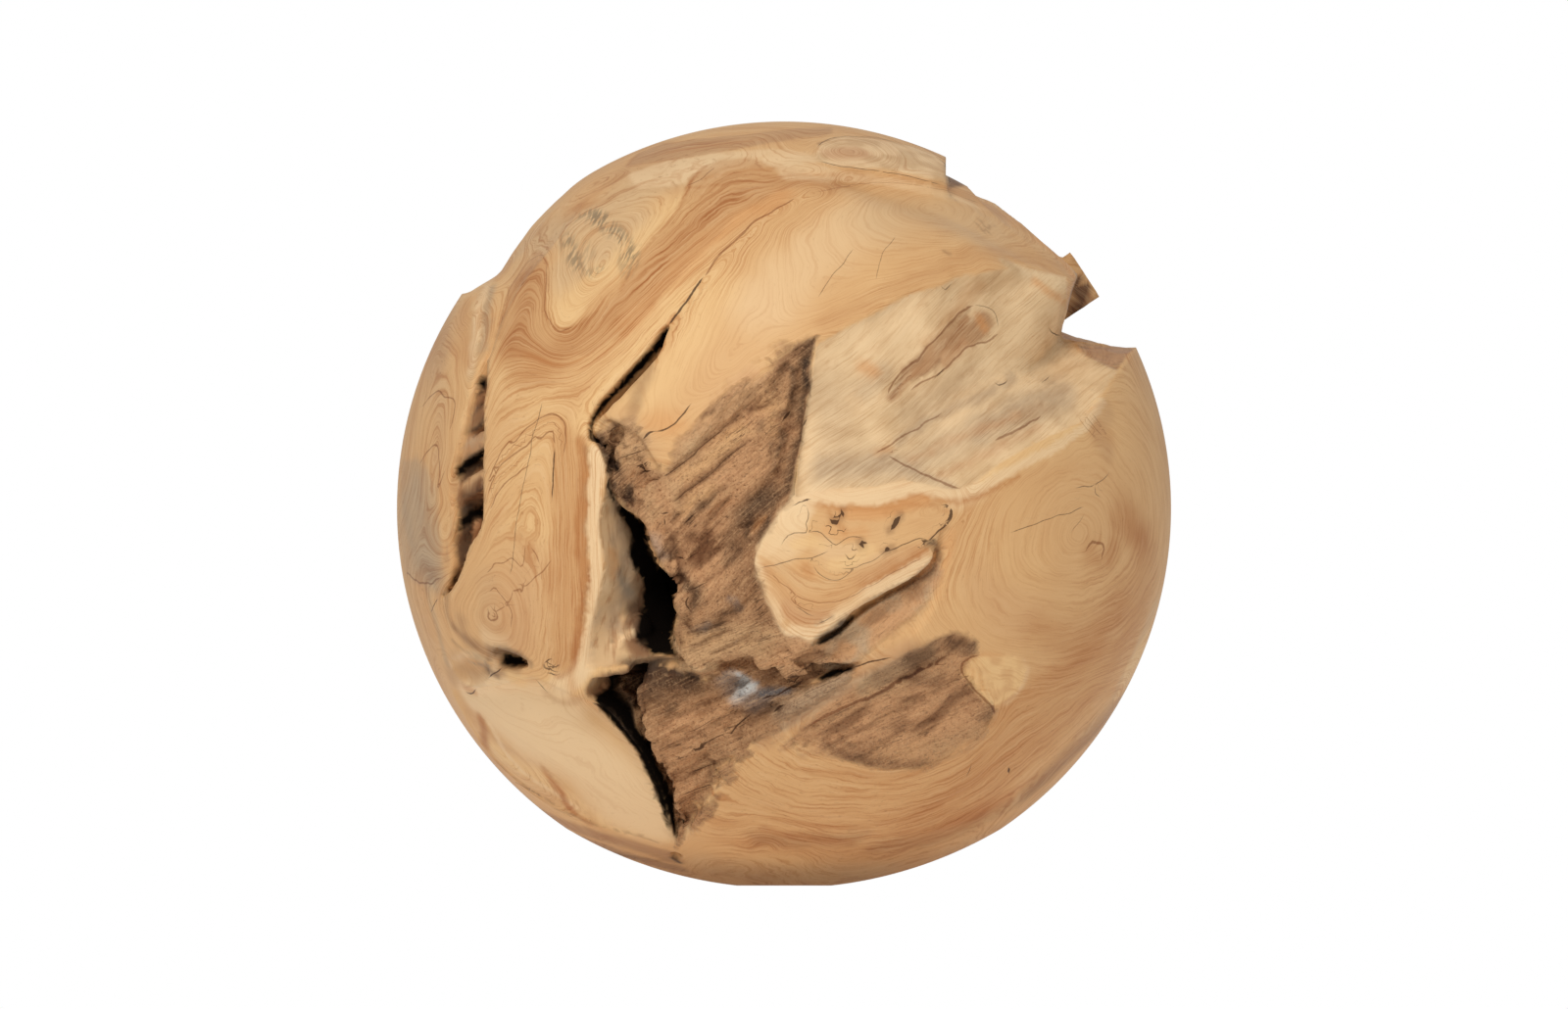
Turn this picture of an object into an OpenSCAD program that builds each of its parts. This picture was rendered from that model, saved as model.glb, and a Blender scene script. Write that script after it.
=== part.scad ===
// Teak root ball: one piece of root stump turned to a ball, with the clefts, hollows and
// weathered heartwood that grew in it left open.
// Front is -Y and up is +Z.  The origin is the centre that the ball was turned about.

/* [Ball] */
// Diameter that the ball is turned to
ball_d = 395; // [250:1:600]
// How much lower the full round would reach than the flatter bottom does
belly_drop = 5; // [1:0.5:12]
// How much larger the radius under the ball is than the ball's own
belly_extra_r = 20; // [15:1:150]
// Width of the sanded face that the ball rests on
rest_face_d = 48; // [10:1:60]

/* [Clefts] */
// Depth of the crack above the strap
crack_depth = 60; // [10:1:90]
// Depth of the cleft beside the strap
cleft_depth = 92; // [20:1:120]
// Depth of the cleft below the strap
lower_cleft_depth = 66; // [10:1:90]
// Depth of the slot between the left lobe and the strap
slot_depth = 50; // [10:1:80]
// How far below the surface the ribs in the slot lie
rib_drop = 5; // [2:1:40]
// Depth of the gap under the stub
gap_depth = 16; // [4:1:40]
// Depth of the knot hole at the foot of the strap
knot_hole_depth = 13; // [3:1:30]
// Depth of the pocket beside the knot hole
pocket_depth = 5; // [1:0.5:12]
// Depth of the hole at the foot of the root face
foot_hole_depth = 10; // [3:1:30]
// Depth of the slit below the ledge of heartwood
slit_depth = 14; // [3:1:30]

/* [Hollows] */
// Depth of the smooth root hollow where it leaves the ball
hollow_depth = 30; // [8:0.5:45]
// Depth of the weathered heartwood below the turned surface
heartwood_depth = 13; // [3:0.5:30]
// Depth of the heartwood below the ledge
lower_heartwood_depth = 15; // [3:0.5:30]
// Depth of the band beside the stub
stub_band_depth = 8; // [2:0.5:20]
// Depth of the weathered patch at the lower right
patch_depth = 6; // [1.5:0.5:12]
// Depth of the smooth root face at the lower left
root_face_depth = 10; // [2:0.5:25]
// Height of the ridges in the weathered heartwood
ridge_h = 1.6; // [0:0.1:3]
// Depth of the furrows in the weathered heartwood
furrow_depth = 4; // [1:0.5:8]

/* [Lobes] */
// Depth of the valley between the left lobe and the next one
valley_depth = 10; // [2:0.5:25]
// Step down from the top lobe
ledge_depth = 11; // [2:0.5:25]
// Depth at which the edge of a hollow meets the turned surface
edge_step = 0.8; // [0.5:0.1:2]

/* [Hidden] */
$fa = 3;
$fs = 1;
// Radius of the ball on which the outlines below are laid out.  They follow ball_d.
LAYOUT_R = 197.5;
ball_r = ball_d / 2;
rest_h = ball_r - belly_drop;
belly_r = ball_r + belly_extra_r;
belly_sag = belly_r - sqrt(belly_r * belly_r - rest_face_d * rest_face_d / 4);
// How far the cutters reach outside the ball, as a share of its radius
CLEAR = 1.12;
TEAK = [0.80, 0.62, 0.42];
// Slant of the wood grain in the heartwood, in degrees
GRAIN_SLANT = 39;

// Each outline is a list of stations [xa, za, xb, zb, share, lean]: one edge point, the
// opposite edge point, the share of the full depth and how far across the deepest line lies.
// Points are millimetres on the front view of the layout ball.  A point beyond its rim is
// folded round to the back, as far in from the rim as it lies beyond it.
CRACK = [
    [-41.5, 118, -40.9, 117.4, 0.07, 0.5],
    [-49, 107.5, -48, 106.7, 0.12, 0.5],
    [-55, 100.5, -53.6, 99.5, 0.2, 0.5],
    [-61.5, 93, -59.2, 91.2, 0.35, 0.5],
    [-69, 83, -63.5, 79.5, 0.7, 0.5],
    [-78, 73, -71.5, 69.5, 1, 0.55],
    [-88, 62, -81.5, 59, 1, 0.55],
    [-96, 53, -90, 50.5, 1, 0.55],
    [-100.5, 44, -96.5, 42.5, 0.9, 0.5],
    [-100.5, 34, -97.5, 35, 0.8, 0.5],
];
STRAP_CLEFT = [
    [-100.5, 37, -97.5, 38, 0.5, 0.5],
    [-94.5, 30, -91, 31.5, 0.42, 0.5],
    [-91.5, 19, -87.5, 16.5, 0.4, 0.5],
    [-92, 8, -84, 2, 0.5, 0.6],
    [-95, -4.5, -73, -5.5, 0.75, 0.72],
    [-94.5, -15.5, -68.5, -15.5, 0.9, 0.75],
    [-92.5, -26.5, -65, -28, 1, 0.78],
    [-94, -39, -57.5, -38, 1, 0.78],
    [-97, -51.5, -54.5, -50.5, 0.95, 0.75],
    [-99.5, -63, -55, -63, 0.65, 0.75],
    [-101.5, -74, -54.5, -72, 0.28, 0.75],
    [-103, -83, -54, -77, 0.1, 0.75],
];
LOWER_CLEFT = [
    [-99, -87, -70, -83, 0.55, 0.5],
    [-101, -96.5, -77, -95, 0.75, 0.5],
    [-89, -106, -74, -108, 1, 0.5],
    [-80, -116.5, -69.5, -119, 1, 0.5],
    [-73, -127.5, -65.5, -130, 0.95, 0.5],
    [-66.5, -139.5, -59, -141.5, 0.9, 0.5],
    [-61.5, -152, -56, -154.5, 0.75, 0.5],
    [-58, -165, -54.5, -165.5, 0.45, 0.5],
    [-56.5, -174.5, -54.8, -174.5, 0.15, 0.5],
];
LOWER_HEARTWOOD = [
    [-79, -90, 26, -87, 1.1, 0.35],
    [-77, -101, 4, -99, 0.85, 0.4],
    [-73, -113.5, -9, -112.5, 0.75, 0.4],
    [-67, -127.5, -23, -128, 0.65, 0.45],
    [-60, -141.5, -33.5, -142, 0.5, 0.45],
    [-56.5, -156.5, -43.5, -156.5, 0.35, 0.5],
    [-55.3, -169.5, -51, -169, 0.12, 0.5],
];
HEARTWOOD = [
    [12.5, 87.2, 16, 88, 0.3, 0.8],
    [0, 79, 15.3, 77, 0.5, 0.85],
    [-17.5, 64.5, 13.5, 63.5, 0.75, 0.88],
    [-35, 47.5, 11, 47, 0.95, 0.9],
    [-50, 30, 8, 29.5, 1, 0.9],
    [-66, 20, 4, 13.5, 1, 0.88],
    [-82, 9, 0, 0.5, 1, 0.85],
    [-76, -4, -6.5, -8, 0.95, 0.82],
    [-68.5, -14, -12, -19, 0.9, 0.8],
    [-66.5, -26.5, -15, -28, 0.85, 0.75],
    [-59.5, -37.5, -11.5, -39.5, 0.8, 0.7],
    [-57, -50, -6.5, -49.5, 0.65, 0.6],
    [-57, -62, -2, -61, 0.5, 0.5],
    [-56.5, -73.5, 4, -72, 0.42, 0.5],
    [-54, -82, 8, -80, 0.36, 0.5],
];
UNDER_LEDGE = [
    [-80, -80, -79, -94, 0.9, 0.2],
    [-66, -78, -66, -96, 1, 0.18],
    [-54, -76, -54, -98, 1, 0.15],
    [-49, -81, -50, -99, 1, 0.15],
    [-42, -84, -43, -100, 1, 0.15],
    [-37, -80, -36, -100, 1.05, 0.15],
    [-25.5, -77.5, -24, -100, 1.1, 0.15],
    [-17, -77.5, -15, -99, 1.1, 0.15],
    [-12, -83.5, -8, -98, 1.1, 0.15],
    [-4, -81, 0, -96, 1.1, 0.15],
    [0.5, -87.5, 8, -95, 1, 0.2],
    [12, -84.5, 16, -93, 0.9, 0.2],
    [24, -81.5, 25, -88.5, 0.6, 0.3],
    [36, -79, 34, -82, 0.3, 0.4],
];
BARK_EDGE = [
    [-98.5, 37, -89.5, 46, 0.35, 0.4],
    [-92.5, 27.5, -76, 39.5, 0.5, 0.4],
    [-88, 15, -68, 28, 0.65, 0.45],
    [-84, 4, -61, 16.5, 0.9, 0.5],
];
ROOT_HOLLOW = [
    [16.5, 84.5, 4.5, 3.5, 0.2, 0.3],
    [31, 92.5, 25, 9, 0.32, 0.32],
    [46, 100, 45, 10, 0.45, 0.36],
    [65.5, 110.5, 63, 13.5, 0.55, 0.42],
    [81, 114.5, 90, 9, 0.66, 0.5],
    [96.5, 124.5, 109, 21.5, 0.76, 0.5],
    [110.5, 127, 130.5, 34, 0.87, 0.5],
    [126, 122.5, 151.5, 44, 0.95, 0.5],
    [141, 117.5, 163, 58.5, 1, 0.55],
    [150.5, 120, 176.5, 79.5, 1, 0.55],
    [157, 131, 185.5, 88, 1, 0.5],
    [164, 143, 190, 105, 0.6, 0.5],
    [181, 147, 194, 129, 0.12, 0.5],
];
STUB_GAP = [
    [14, -68, 16, -71.5, 0.5, 0.4],
    [29, -60.5, 33, -63.5, 0.9, 0.3],
    [34, -53.5, 39, -56.5, 1, 0.3],
    [49, -44.5, 52.5, -48.5, 1, 0.3],
    [68, -34, 71.5, -37, 1, 0.3],
    [75.5, -26, 80, -26.5, 0.8, 0.3],
    [76.5, -19.5, 80, -20, 0.4, 0.4],
];
STUB_BAND = [
    [80, -9, 87, -8, 0.25, 0.2],
    [78, -20.5, 86, -21.5, 0.6, 0.2],
    [74, -31, 83, -34, 0.85, 0.2],
    [61, -40.5, 78, -49, 0.9, 0.2],
    [46, -49, 70, -62, 0.9, 0.2],
    [31, -60, 55, -76, 0.9, 0.25],
    [12, -72, 37, -84, 1, 0.3],
    [0, -77, 20, -88, 1.1, 0.4],
];
LOWER_PATCH = [
    [1.5, -118.5, 3, -120.5, 0.2, 0.4],
    [15, -108, 15, -123.5, 0.5, 0.4],
    [30, -96.5, 31, -128, 0.65, 0.4],
    [47.5, -83, 50, -132.5, 0.75, 0.4],
    [65, -71.5, 70, -133, 0.85, 0.35],
    [80, -65.5, 87.5, -125.5, 1, 0.3],
    [92, -64.5, 101, -116, 1, 0.35],
    [98, -76, 107, -106, 0.6, 0.5],
];
SIDE_SLOT = [
    [-153, 77, -151.5, 76.5, 0.15, 0.5],
    [-158, 65, -151.5, 63.5, 0.5, 0.5],
    [-160, 57, -153, 54.5, 0.75, 0.5],
    [-163.5, 44, -153, 41, 0.95, 0.5],
    [-167, 29.5, -153.5, 27, 1, 0.5],
    [-170, 16, -153.5, 14.5, 1, 0.5],
    [-170, 3.5, -153.5, 2, 0.9, 0.5],
    [-168.5, -8, -154.5, -9.5, 0.85, 0.5],
    [-170.5, -18.5, -160.5, -19.5, 0.75, 0.5],
    [-169.5, -29.5, -164.5, -31.5, 0.6, 0.5],
    [-172.5, -39.5, -169, -40.5, 0.4, 0.5],
    [-176.5, -45.5, -175, -46.5, 0.15, 0.5],
];
LOBE_VALLEY = [
    [-184, 128, -120, 190, 0.2, 0.3],
    [-173, 114, -104, 180, 0.7, 0.25],
    [-162, 110, -93, 172, 1, 0.25],
    [-157.5, 104, -112, 142, 0.9, 0.3],
    [-156, 92, -138, 108, 0.65, 0.4],
    [-153.5, 76, -150.5, 76, 0.4, 0.5],
];
TOP_LEDGE = [
    [2, 172, 4, 167, 0.1, 0.2],
    [18, 171, 24, 157, 0.3, 0.16],
    [30, 173, 42, 148, 0.6, 0.14],
    [46, 174, 66, 140, 0.75, 0.12],
    [60, 172, 90, 130, 0.8, 0.12],
    [82.5, 168, 132, 108, 0.85, 0.12],
    [92, 176, 168, 102, 0.8, 0.12],
    [103, 188, 178, 112, 0.5, 0.15],
    [116, 196, 172, 142, 0.12, 0.3],
];
ROOT_FACE = [
    [-169.5, -92, -169, -94.5, 0.1, 0.4],
    [-148.5, -91, -160, -111.5, 0.45, 0.3],
    [-127, -87.5, -151, -125, 0.75, 0.25],
    [-108, -96, -139, -137, 0.95, 0.25],
    [-92, -102, -126, -147.5, 1, 0.2],
    [-79, -117, -107.5, -157, 0.9, 0.2],
    [-68, -133, -87.5, -165.5, 0.7, 0.2],
    [-60.5, -151.5, -72.5, -171, 0.5, 0.25],
    [-55.8, -171, -57.5, -175, 0.15, 0.4],
];
FOOT_HOLE = [
    [-59, -177.5, -58.5, -179, 0.5, 0.5],
    [-56, -176.5, -55, -181.5, 1, 0.5],
    [-52.5, -178, -52.5, -180, 0.5, 0.5],
];
POCKET = [
    [-170, -77, -168, -84, 0.3, 0.5],
    [-164, -76, -161, -90, 0.9, 0.45],
    [-157, -78, -154, -90, 1, 0.45],
    [-151, -80, -150, -85, 0.4, 0.5],
];
KNOT_HOLE = [
    [-147.5, -71, -149, -74, 0.3, 0.5],
    [-140, -73.5, -145, -82, 0.9, 0.45],
    [-134, -76, -138, -83, 1, 0.4],
    [-130, -79.5, -131, -81.5, 0.3, 0.5],
];
LEDGE_SLIT = [
    [12.5, -86.5, 13.5, -89, 0.4, 0.5],
    [24, -84, 26, -88, 1, 0.4],
    [33, -81.5, 35, -84.5, 0.9, 0.4],
    [41, -79, 42, -80.5, 0.3, 0.5],
];
// Furrows in the heartwood: start, bend and end of each, with the share of the heartwood's
// depth that is already gone there
FURROWS = [
    [[-60.5, 17.5, 0.1], [-20, 49.5, 0.3], [-1, 62, 0.6]],
    [[-55, 5, 0.35], [-34, 21.5, 0.5], [-16, 35.5, 0.75]],
    [[-51, -9.5, 0.3], [-38, 5.5, 0.55], [-24.5, 16.5, 0.7]],
];
FURROW_W = 2.6;
// How far a root's foot goes into the wood below it
ROOT_BITE = 4;
// Ends of roots that stand behind the notch and the top ledge: corners on the front view
NOTCH_ROOT = [[148, 133], [160, 121], [167, 112], [173, 117], [170, 131], [158, 141]];
LEDGE_ROOT = [[92, 169], [97.5, 171.5], [101, 180], [93, 177]];
// The knob at the foot of the strap: place on the front view, radius, and how far down the
// cleft its centre lies
KNOB_AT = [-83, -68];
KNOB_R = 8;
KNOB_SHARE = 0.22;
// Ribs of root that slant across the slot
SLOT_RIBS = [
    [[-164.5, 40], [-150.5, 50], [-150.5, 60], [-164, 50]],
    [[-168.5, 24], [-151.5, 35], [-151.5, 45], [-166.5, 35]],
    [[-170.5, 3], [-152, 13.5], [-152, 24], [-170, 14]],
];
// Positions across a hollow, closer together at its edges where the walls are steep
ACROSS_FINE = [0, 0.06, 0.14, 0.24, 0.34, 0.44, 0.54, 0.64, 0.74, 0.83, 0.91, 0.96, 1];
ACROSS = [0, 0.08, 0.22, 0.38, 0.54, 0.7, 0.84, 0.94, 1];
ACROSS_NARROW = [0, 0.15, 0.5, 0.85, 1];
// How steep the two walls of a hollow are: 1 is a plain slope, less is steeper at the edge
STEEP_WALLS = [0.35, 0.35];
OPEN_LEFT = [0.85, 0.3];
SMOOTH_BOWL = [0.7, 0.8];
WEATHERED = [0.8, 0.45];
FEATHERED = [0.9, 0.9];
UNDER_STEP = [0.4, 1.1];
UNDER_LOBE = [0.4, 0.5];
LONG_EASE = [0.7, 1.4];

function mix(a, b, t) = a + (b - a) * t;

// Unit direction from the centre through a point of the front view
function front_dir(p) =
    let (
        reach = norm(p) / LAYOUT_R,
        inside = reach > 1 ? 2 - reach : reach,
        y = sqrt(1 - inside * inside) * (reach > 1 ? 1 : -1),
        along = p / max(norm(p), 0.001)
    )
    [along[0] * inside, y, along[1] * inside];

// A smooth curve through whole stations, at t of the way from station i to the next
function between(stations, i, t) =
    let (
        last = len(stations) - 1,
        a = stations[max(i - 1, 0)],
        b = stations[i],
        c = stations[min(i + 1, last)],
        d = stations[min(i + 2, last)]
    )
    0.5 * (2 * b + (c - a) * t + (2 * a - 5 * b + 4 * c - d) * t * t
        + (3 * b - a - 3 * c + d) * t * t * t);

function smoothed(stations, steps) = [
    for (i = [0 : len(stations) - 2])
        for (s = [0 : steps - 1])
            between(stations, i, s / steps),
    stations[len(stations) - 1],
];

// Share of the depth at u of the way across
function section(u, lean, walls) =
    u < lean ? pow(u / lean, walls[0]) : pow((1 - u) / (1 - lean), walls[1]);

// Uneven ridges along the grain, from -1 to 1
function ridges(p) =
    let (w = p[1] * cos(GRAIN_SLANT) - p[0] * sin(GRAIN_SLANT), l = p[0] + p[1])
    0.6 * sin(w * 23 + 40 * sin(l * 3)) + 0.4 * sin(w * 41 + l * 5 + 70);

// Twice the signed area that the stations cover, which says which way round they run
function turn_of(stations) = [
    for (i = [0 : len(stations) - 2])
        let (
            a = stations[i],
            b = stations[i + 1],
            across = [a[2] - a[0], a[3] - a[1]],
            along = [b[0] + b[2] - a[0] - a[2], b[1] + b[3] - a[1] - a[3]]
        )
        across[0] * along[1] - across[1] * along[0],
] * [for (i = [0 : len(stations) - 2]) 1];

function flipped(faces) = [for (f = faces) [for (i = [len(f) - 1 : -1 : 0]) f[i]]];

// The solid that a hollow takes out of the ball, lofted between its two edges
module hollow(stations, depth, walls, across = ACROSS, steps = 3, rough = 0) {
    rows = smoothed(stations, steps);
    nr = len(rows);
    nc = len(across);
    floor_points = [
        for (row = rows)
            for (u = across)
                let (
                    p = mix([row[0], row[1]], [row[2], row[3]], u),
                    shape = section(u, row[5], walls),
                    full = max(depth * row[4], edge_step),
                    deep = edge_step + (full - edge_step) * shape
                        + rough * ridges(p) * min(1, 4 * u * (1 - u))
                )
                front_dir(p) * (ball_r - max(deep, edge_step)),
    ];
    rim_points = [
        for (row = rows)
            let (
                a = front_dir([row[0], row[1]]),
                b = front_dir([row[2], row[3]]),
                // Far enough out for the straight line between the two to pass the ball
                reach = ball_r * CLEAR / norm((a + b) / 2)
            )
            each [a * reach, b * reach],
    ];
    rim = nr * nc;
    faces = [
        for (r = [0 : nr - 2])
            for (c = [0 : nc - 2])
                let (a = r * nc + c, b = a + nc)
                each [[a, b, a + 1], [a + 1, b, b + 1]],
        for (r = [0 : nr - 2])
            let (a = rim + 2 * r, left = r * nc, right = left + nc - 1)
            each [
                [a, a + 1, a + 2], [a + 1, a + 3, a + 2],
                [a, a + 2, left], [a + 2, left + nc, left],
                [a + 1, right, a + 3], [a + 3, right, right + nc],
            ],
        for (c = [0 : nc - 2]) [rim, c, c + 1],
        [rim, nc - 1, rim + 1],
        for (c = [0 : nc - 2])
            let (a = (nr - 1) * nc + c)
            [rim + 2 * nr - 2, a + 1, a],
        [rim + 2 * nr - 2, rim + 2 * nr - 1, nr * nc - 1],
    ];
    polyhedron(
        points = concat(floor_points, rim_points),
        faces = turn_of(stations) > 0 ? flipped(faces) : faces
    );
}

// A narrow furrow along three points
module furrow(points) {
    side = FURROW_W / 2 * [sin(GRAIN_SLANT), -cos(GRAIN_SLANT)];
    stations = [
        for (i = [0 : 2])
            let (
                p = points[i],
                w = (i == 1 ? 1 : 0.3) * side,
                full = p[2] * heartwood_depth + furrow_depth * (i == 1 ? 1 : 0.5)
            )
            [p[0] - w[0], p[1] - w[1], p[0] + w[0], p[1] + w[1], full, 0.5],
    ];
    hollow(stations, 1, STEEP_WALLS, [0, 0.5, 1], 3);
}

// A block of root on the given corners, between two distances from the ball's centre
module root_block(corners, foot_r, top_r) {
    n = len(corners);
    polyhedron(
        points = [
            for (r = [foot_r, top_r])
                for (p = corners)
                    front_dir(p) * r,
        ],
        faces = concat(
            [[for (i = [0 : n - 1]) i]],
            [[for (i = [n - 1 : -1 : 0]) n + i]],
            [for (i = [0 : n - 1]) [i, n + i, n + (i + 1) % n, (i + 1) % n]]
        )
    );
}

// The ball as turned: round, with a flatter curve below and a small face to rest on
module turned_body() {
    intersection() {
        sphere(ball_r);
        translate([0, 0, belly_r - rest_h - belly_sag]) sphere(belly_r);
        translate([0, 0, ball_r - rest_h]) cube(2 * ball_r, center = true);
    }
}

module clefts() {
    hollow(CRACK, crack_depth, STEEP_WALLS, ACROSS_NARROW);
    hollow(STRAP_CLEFT, cleft_depth, OPEN_LEFT);
    hollow(LOWER_CLEFT, lower_cleft_depth, STEEP_WALLS);
    hollow(SIDE_SLOT, slot_depth, STEEP_WALLS, ACROSS_NARROW);
    hollow(STUB_GAP, gap_depth, STEEP_WALLS, ACROSS_NARROW, 2);
    hollow(KNOT_HOLE, knot_hole_depth, STEEP_WALLS, ACROSS_NARROW);
    hollow(POCKET, pocket_depth, SMOOTH_BOWL, ACROSS_NARROW);
    hollow(FOOT_HOLE, foot_hole_depth, STEEP_WALLS, ACROSS_NARROW);
    hollow(LEDGE_SLIT, lower_heartwood_depth + slit_depth, STEEP_WALLS, ACROSS_NARROW);
}

module heartwood() {
    hollow(HEARTWOOD, heartwood_depth, WEATHERED, ACROSS_FINE, 3, ridge_h);
    hollow(BARK_EDGE, heartwood_depth, WEATHERED, ACROSS, 3, ridge_h);
    hollow(LOWER_HEARTWOOD, lower_heartwood_depth, WEATHERED, ACROSS_FINE, 3, ridge_h);
    hollow(UNDER_LEDGE, lower_heartwood_depth, UNDER_STEP, ACROSS, 2, ridge_h);
    hollow(STUB_BAND, stub_band_depth, FEATHERED, ACROSS, 2);
    hollow(LOWER_PATCH, patch_depth, FEATHERED, ACROSS, 2);
    for (points = FURROWS) furrow(points);
}

module smooth_hollows() {
    hollow(ROOT_HOLLOW, hollow_depth, SMOOTH_BOWL, ACROSS_FINE);
    hollow(ROOT_FACE, root_face_depth, UNDER_STEP);
    hollow(LOBE_VALLEY, valley_depth, LONG_EASE);
    hollow(TOP_LEDGE, ledge_depth, UNDER_LOBE);
}

// The end of a root that stands up to the turned surface
module root_end(corners, below) {
    intersection() {
        turned_body();
        root_block(corners, ball_r - below - ROOT_BITE, ball_r * CLEAR);
    }
}

// A rounded knob on the strap's side
module knob() {
    translate(front_dir(KNOB_AT) * (ball_r - KNOB_SHARE * cleft_depth)) sphere(KNOB_R);
}

module root_ball() {
    color(TEAK)
    union() {
        difference() {
            turned_body();
            clefts();
            heartwood();
            smooth_hollows();
        }
        root_end(NOTCH_ROOT, hollow_depth);
        root_end(LEDGE_ROOT, ledge_depth);
        knob();
        for (corners = SLOT_RIBS)
            root_block(corners, ball_r - slot_depth - ROOT_BITE, ball_r - rib_drop);
    }
}

root_ball();
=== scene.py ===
"""Looks of the teak root ball: the carved surface as a fine mesh, its wood, lights, floor and camera."""
import math
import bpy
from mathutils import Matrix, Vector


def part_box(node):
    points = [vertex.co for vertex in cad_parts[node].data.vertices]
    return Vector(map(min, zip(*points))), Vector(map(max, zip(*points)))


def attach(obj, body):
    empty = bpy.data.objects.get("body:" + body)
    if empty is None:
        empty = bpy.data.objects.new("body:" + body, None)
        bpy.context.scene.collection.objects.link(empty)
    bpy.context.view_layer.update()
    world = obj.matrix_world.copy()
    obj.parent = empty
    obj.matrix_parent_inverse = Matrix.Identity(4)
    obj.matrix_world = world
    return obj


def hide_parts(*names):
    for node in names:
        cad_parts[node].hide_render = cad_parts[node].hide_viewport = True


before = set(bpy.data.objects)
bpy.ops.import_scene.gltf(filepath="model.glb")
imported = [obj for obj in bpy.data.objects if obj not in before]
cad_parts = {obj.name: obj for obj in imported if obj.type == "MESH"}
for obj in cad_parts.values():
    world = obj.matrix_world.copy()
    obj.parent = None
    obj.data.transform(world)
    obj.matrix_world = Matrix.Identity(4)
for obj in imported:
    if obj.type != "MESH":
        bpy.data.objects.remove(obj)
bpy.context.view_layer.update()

from types import SimpleNamespace

import bpy
import numpy as np
from mathutils import Vector

MM = 1000.0                 # millimetres in a metre
LOW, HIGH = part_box("root_ball")
BALL_R = (HIGH.x - LOW.x) / 2 * MM
REST_H = -LOW.z * MM        # from the ball's centre down to the face it rests on
BELLY_R = BALL_R + 20       # the flatter belly under the ball
REST_FACE_R = 24
RIM = 0.9999                # share of the radius beyond which a front-view point lies on the rim

# The photo and the view: millimetres per pixel, and the pixel that shows the ball's centre
PX = 0.5
PHOTO_SIZE = (1600, 1030)
VIEW_CENTRE = (800, 519)

# The mesh: cells in metres, triangles, rounds of smoothing where the turned surface is worn, and how many
# vertices at a time get their growth lines
VOXEL = 0.0013
TRIANGLES = 190000
SMOOTHING_ROUNDS = 30
SPLINE_BATCH = 8000

# Changes to the CAD form, in millimetres: the rounding of the top lobe, the fade of the valley towards
# its end, and the depth and limits of the cut at the end of the top ledge
LOBE_SOFT = 15
VALLEY_FADE = (-138, -93)
LEDGE_END_X = 83.5
LEDGE_END_DEPTH = 8.4
LEDGE_END_RIGHT = (104, 100)
LEDGE_END_FRONT = (-66, -58)
LEDGE_END_BACK = (105, 50)
LEDGE_END_UNDER = (130, 140)

# Slants of the fibres on the front view, in degrees, and the heights between which the heart's turns
HEART_SLANT = 41
BARK_SLANT = 60
LEDGE_SLANT = 17
LOWER_SLANT = 28
PATCH_SLANT = 30
BAND_SLANT = 32
HOLLOW_SLANT = 38
RAGGED_SLANT = 38
NOTCH_SLANT = 60
UNDER_SLANT = 25
SAW_SLANT = 62
SLANT_TURN = (-50, -75)

# The front's colours fade out this far on each side of the limb; strength of the growth lines away from
# the strokes of GRAIN, on the front and elsewhere
LIMB_FADE = 12
FAINT = 0.3
FAR_GRAIN = 0.5

# Studio, in metres: the lamp, the sky as it lights and as it is seen, the floor and the camera
LAMP_PLACE = (-0.4, -1.9, 1.5)
LAMP_SIZE = 0.9
LAMP_WATTS = 27.5
SKY_LIGHT = 0.5
SKY_SEEN = 1.0
FLOOR_HALF = 1.5
CAMERA_DISTANCE = 3


def front(points):
    """Pixels of the photo as millimetres (right, up) on the front view."""
    return [((x - VIEW_CENTRE[0]) * PX, (VIEW_CENTRE[1] - y) * PX) for x, y in points]


def drawn(*entries):
    """A table of lines or outlines, each with what is said of it first and its points last."""
    return [(*said, front(points)) for *said, points in entries]


# ---------------------------------------------------------------- numbers on points

# Each octave of a noise is shifted by so many cells and finer by so much
OCTAVE_SHIFT = 17.3
OCTAVE_STEP = 2.03


def smooth(low, high, value):
    """0 up to low and 1 from high on, with a soft step between them."""
    t = np.clip((value - low) / (high - low), 0, 1)
    return t * t * (3 - 2 * t)


def hashed(ix, iy, iz, seed):
    """A fixed value from -1 to 1 for each whole cell and seed."""
    h = (ix.astype(np.uint32) * np.uint32(374761393) + iy.astype(np.uint32) * np.uint32(668265263)
         + iz.astype(np.uint32) * np.uint32(2246822519) + np.uint32(seed) * np.uint32(3266489917))
    h = (h ^ (h >> np.uint32(15))) * np.uint32(2654435761)
    h = (h ^ (h >> np.uint32(13))) * np.uint32(1274126177)
    h = h ^ (h >> np.uint32(16))
    return h.astype(np.float32) / np.float32(2147483648.0) - 1


def noise(p, seed=0):
    """Smooth value noise from -1 to 1 at points p, one cell per unit."""
    whole = np.floor(p).astype(np.int64)
    f = (p - whole).astype(np.float32)
    f = f * f * f * (f * (f * 6 - 15) + 10)
    total = np.zeros(len(p), np.float32)
    for dx in (0, 1):
        wx = f[:, 0] if dx else 1 - f[:, 0]
        for dy in (0, 1):
            wy = f[:, 1] if dy else 1 - f[:, 1]
            for dz in (0, 1):
                wz = f[:, 2] if dz else 1 - f[:, 2]
                total += wx * wy * wz * hashed(whole[:, 0] + dx, whole[:, 1] + dy, whole[:, 2] + dz, seed)
    return total


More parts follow.
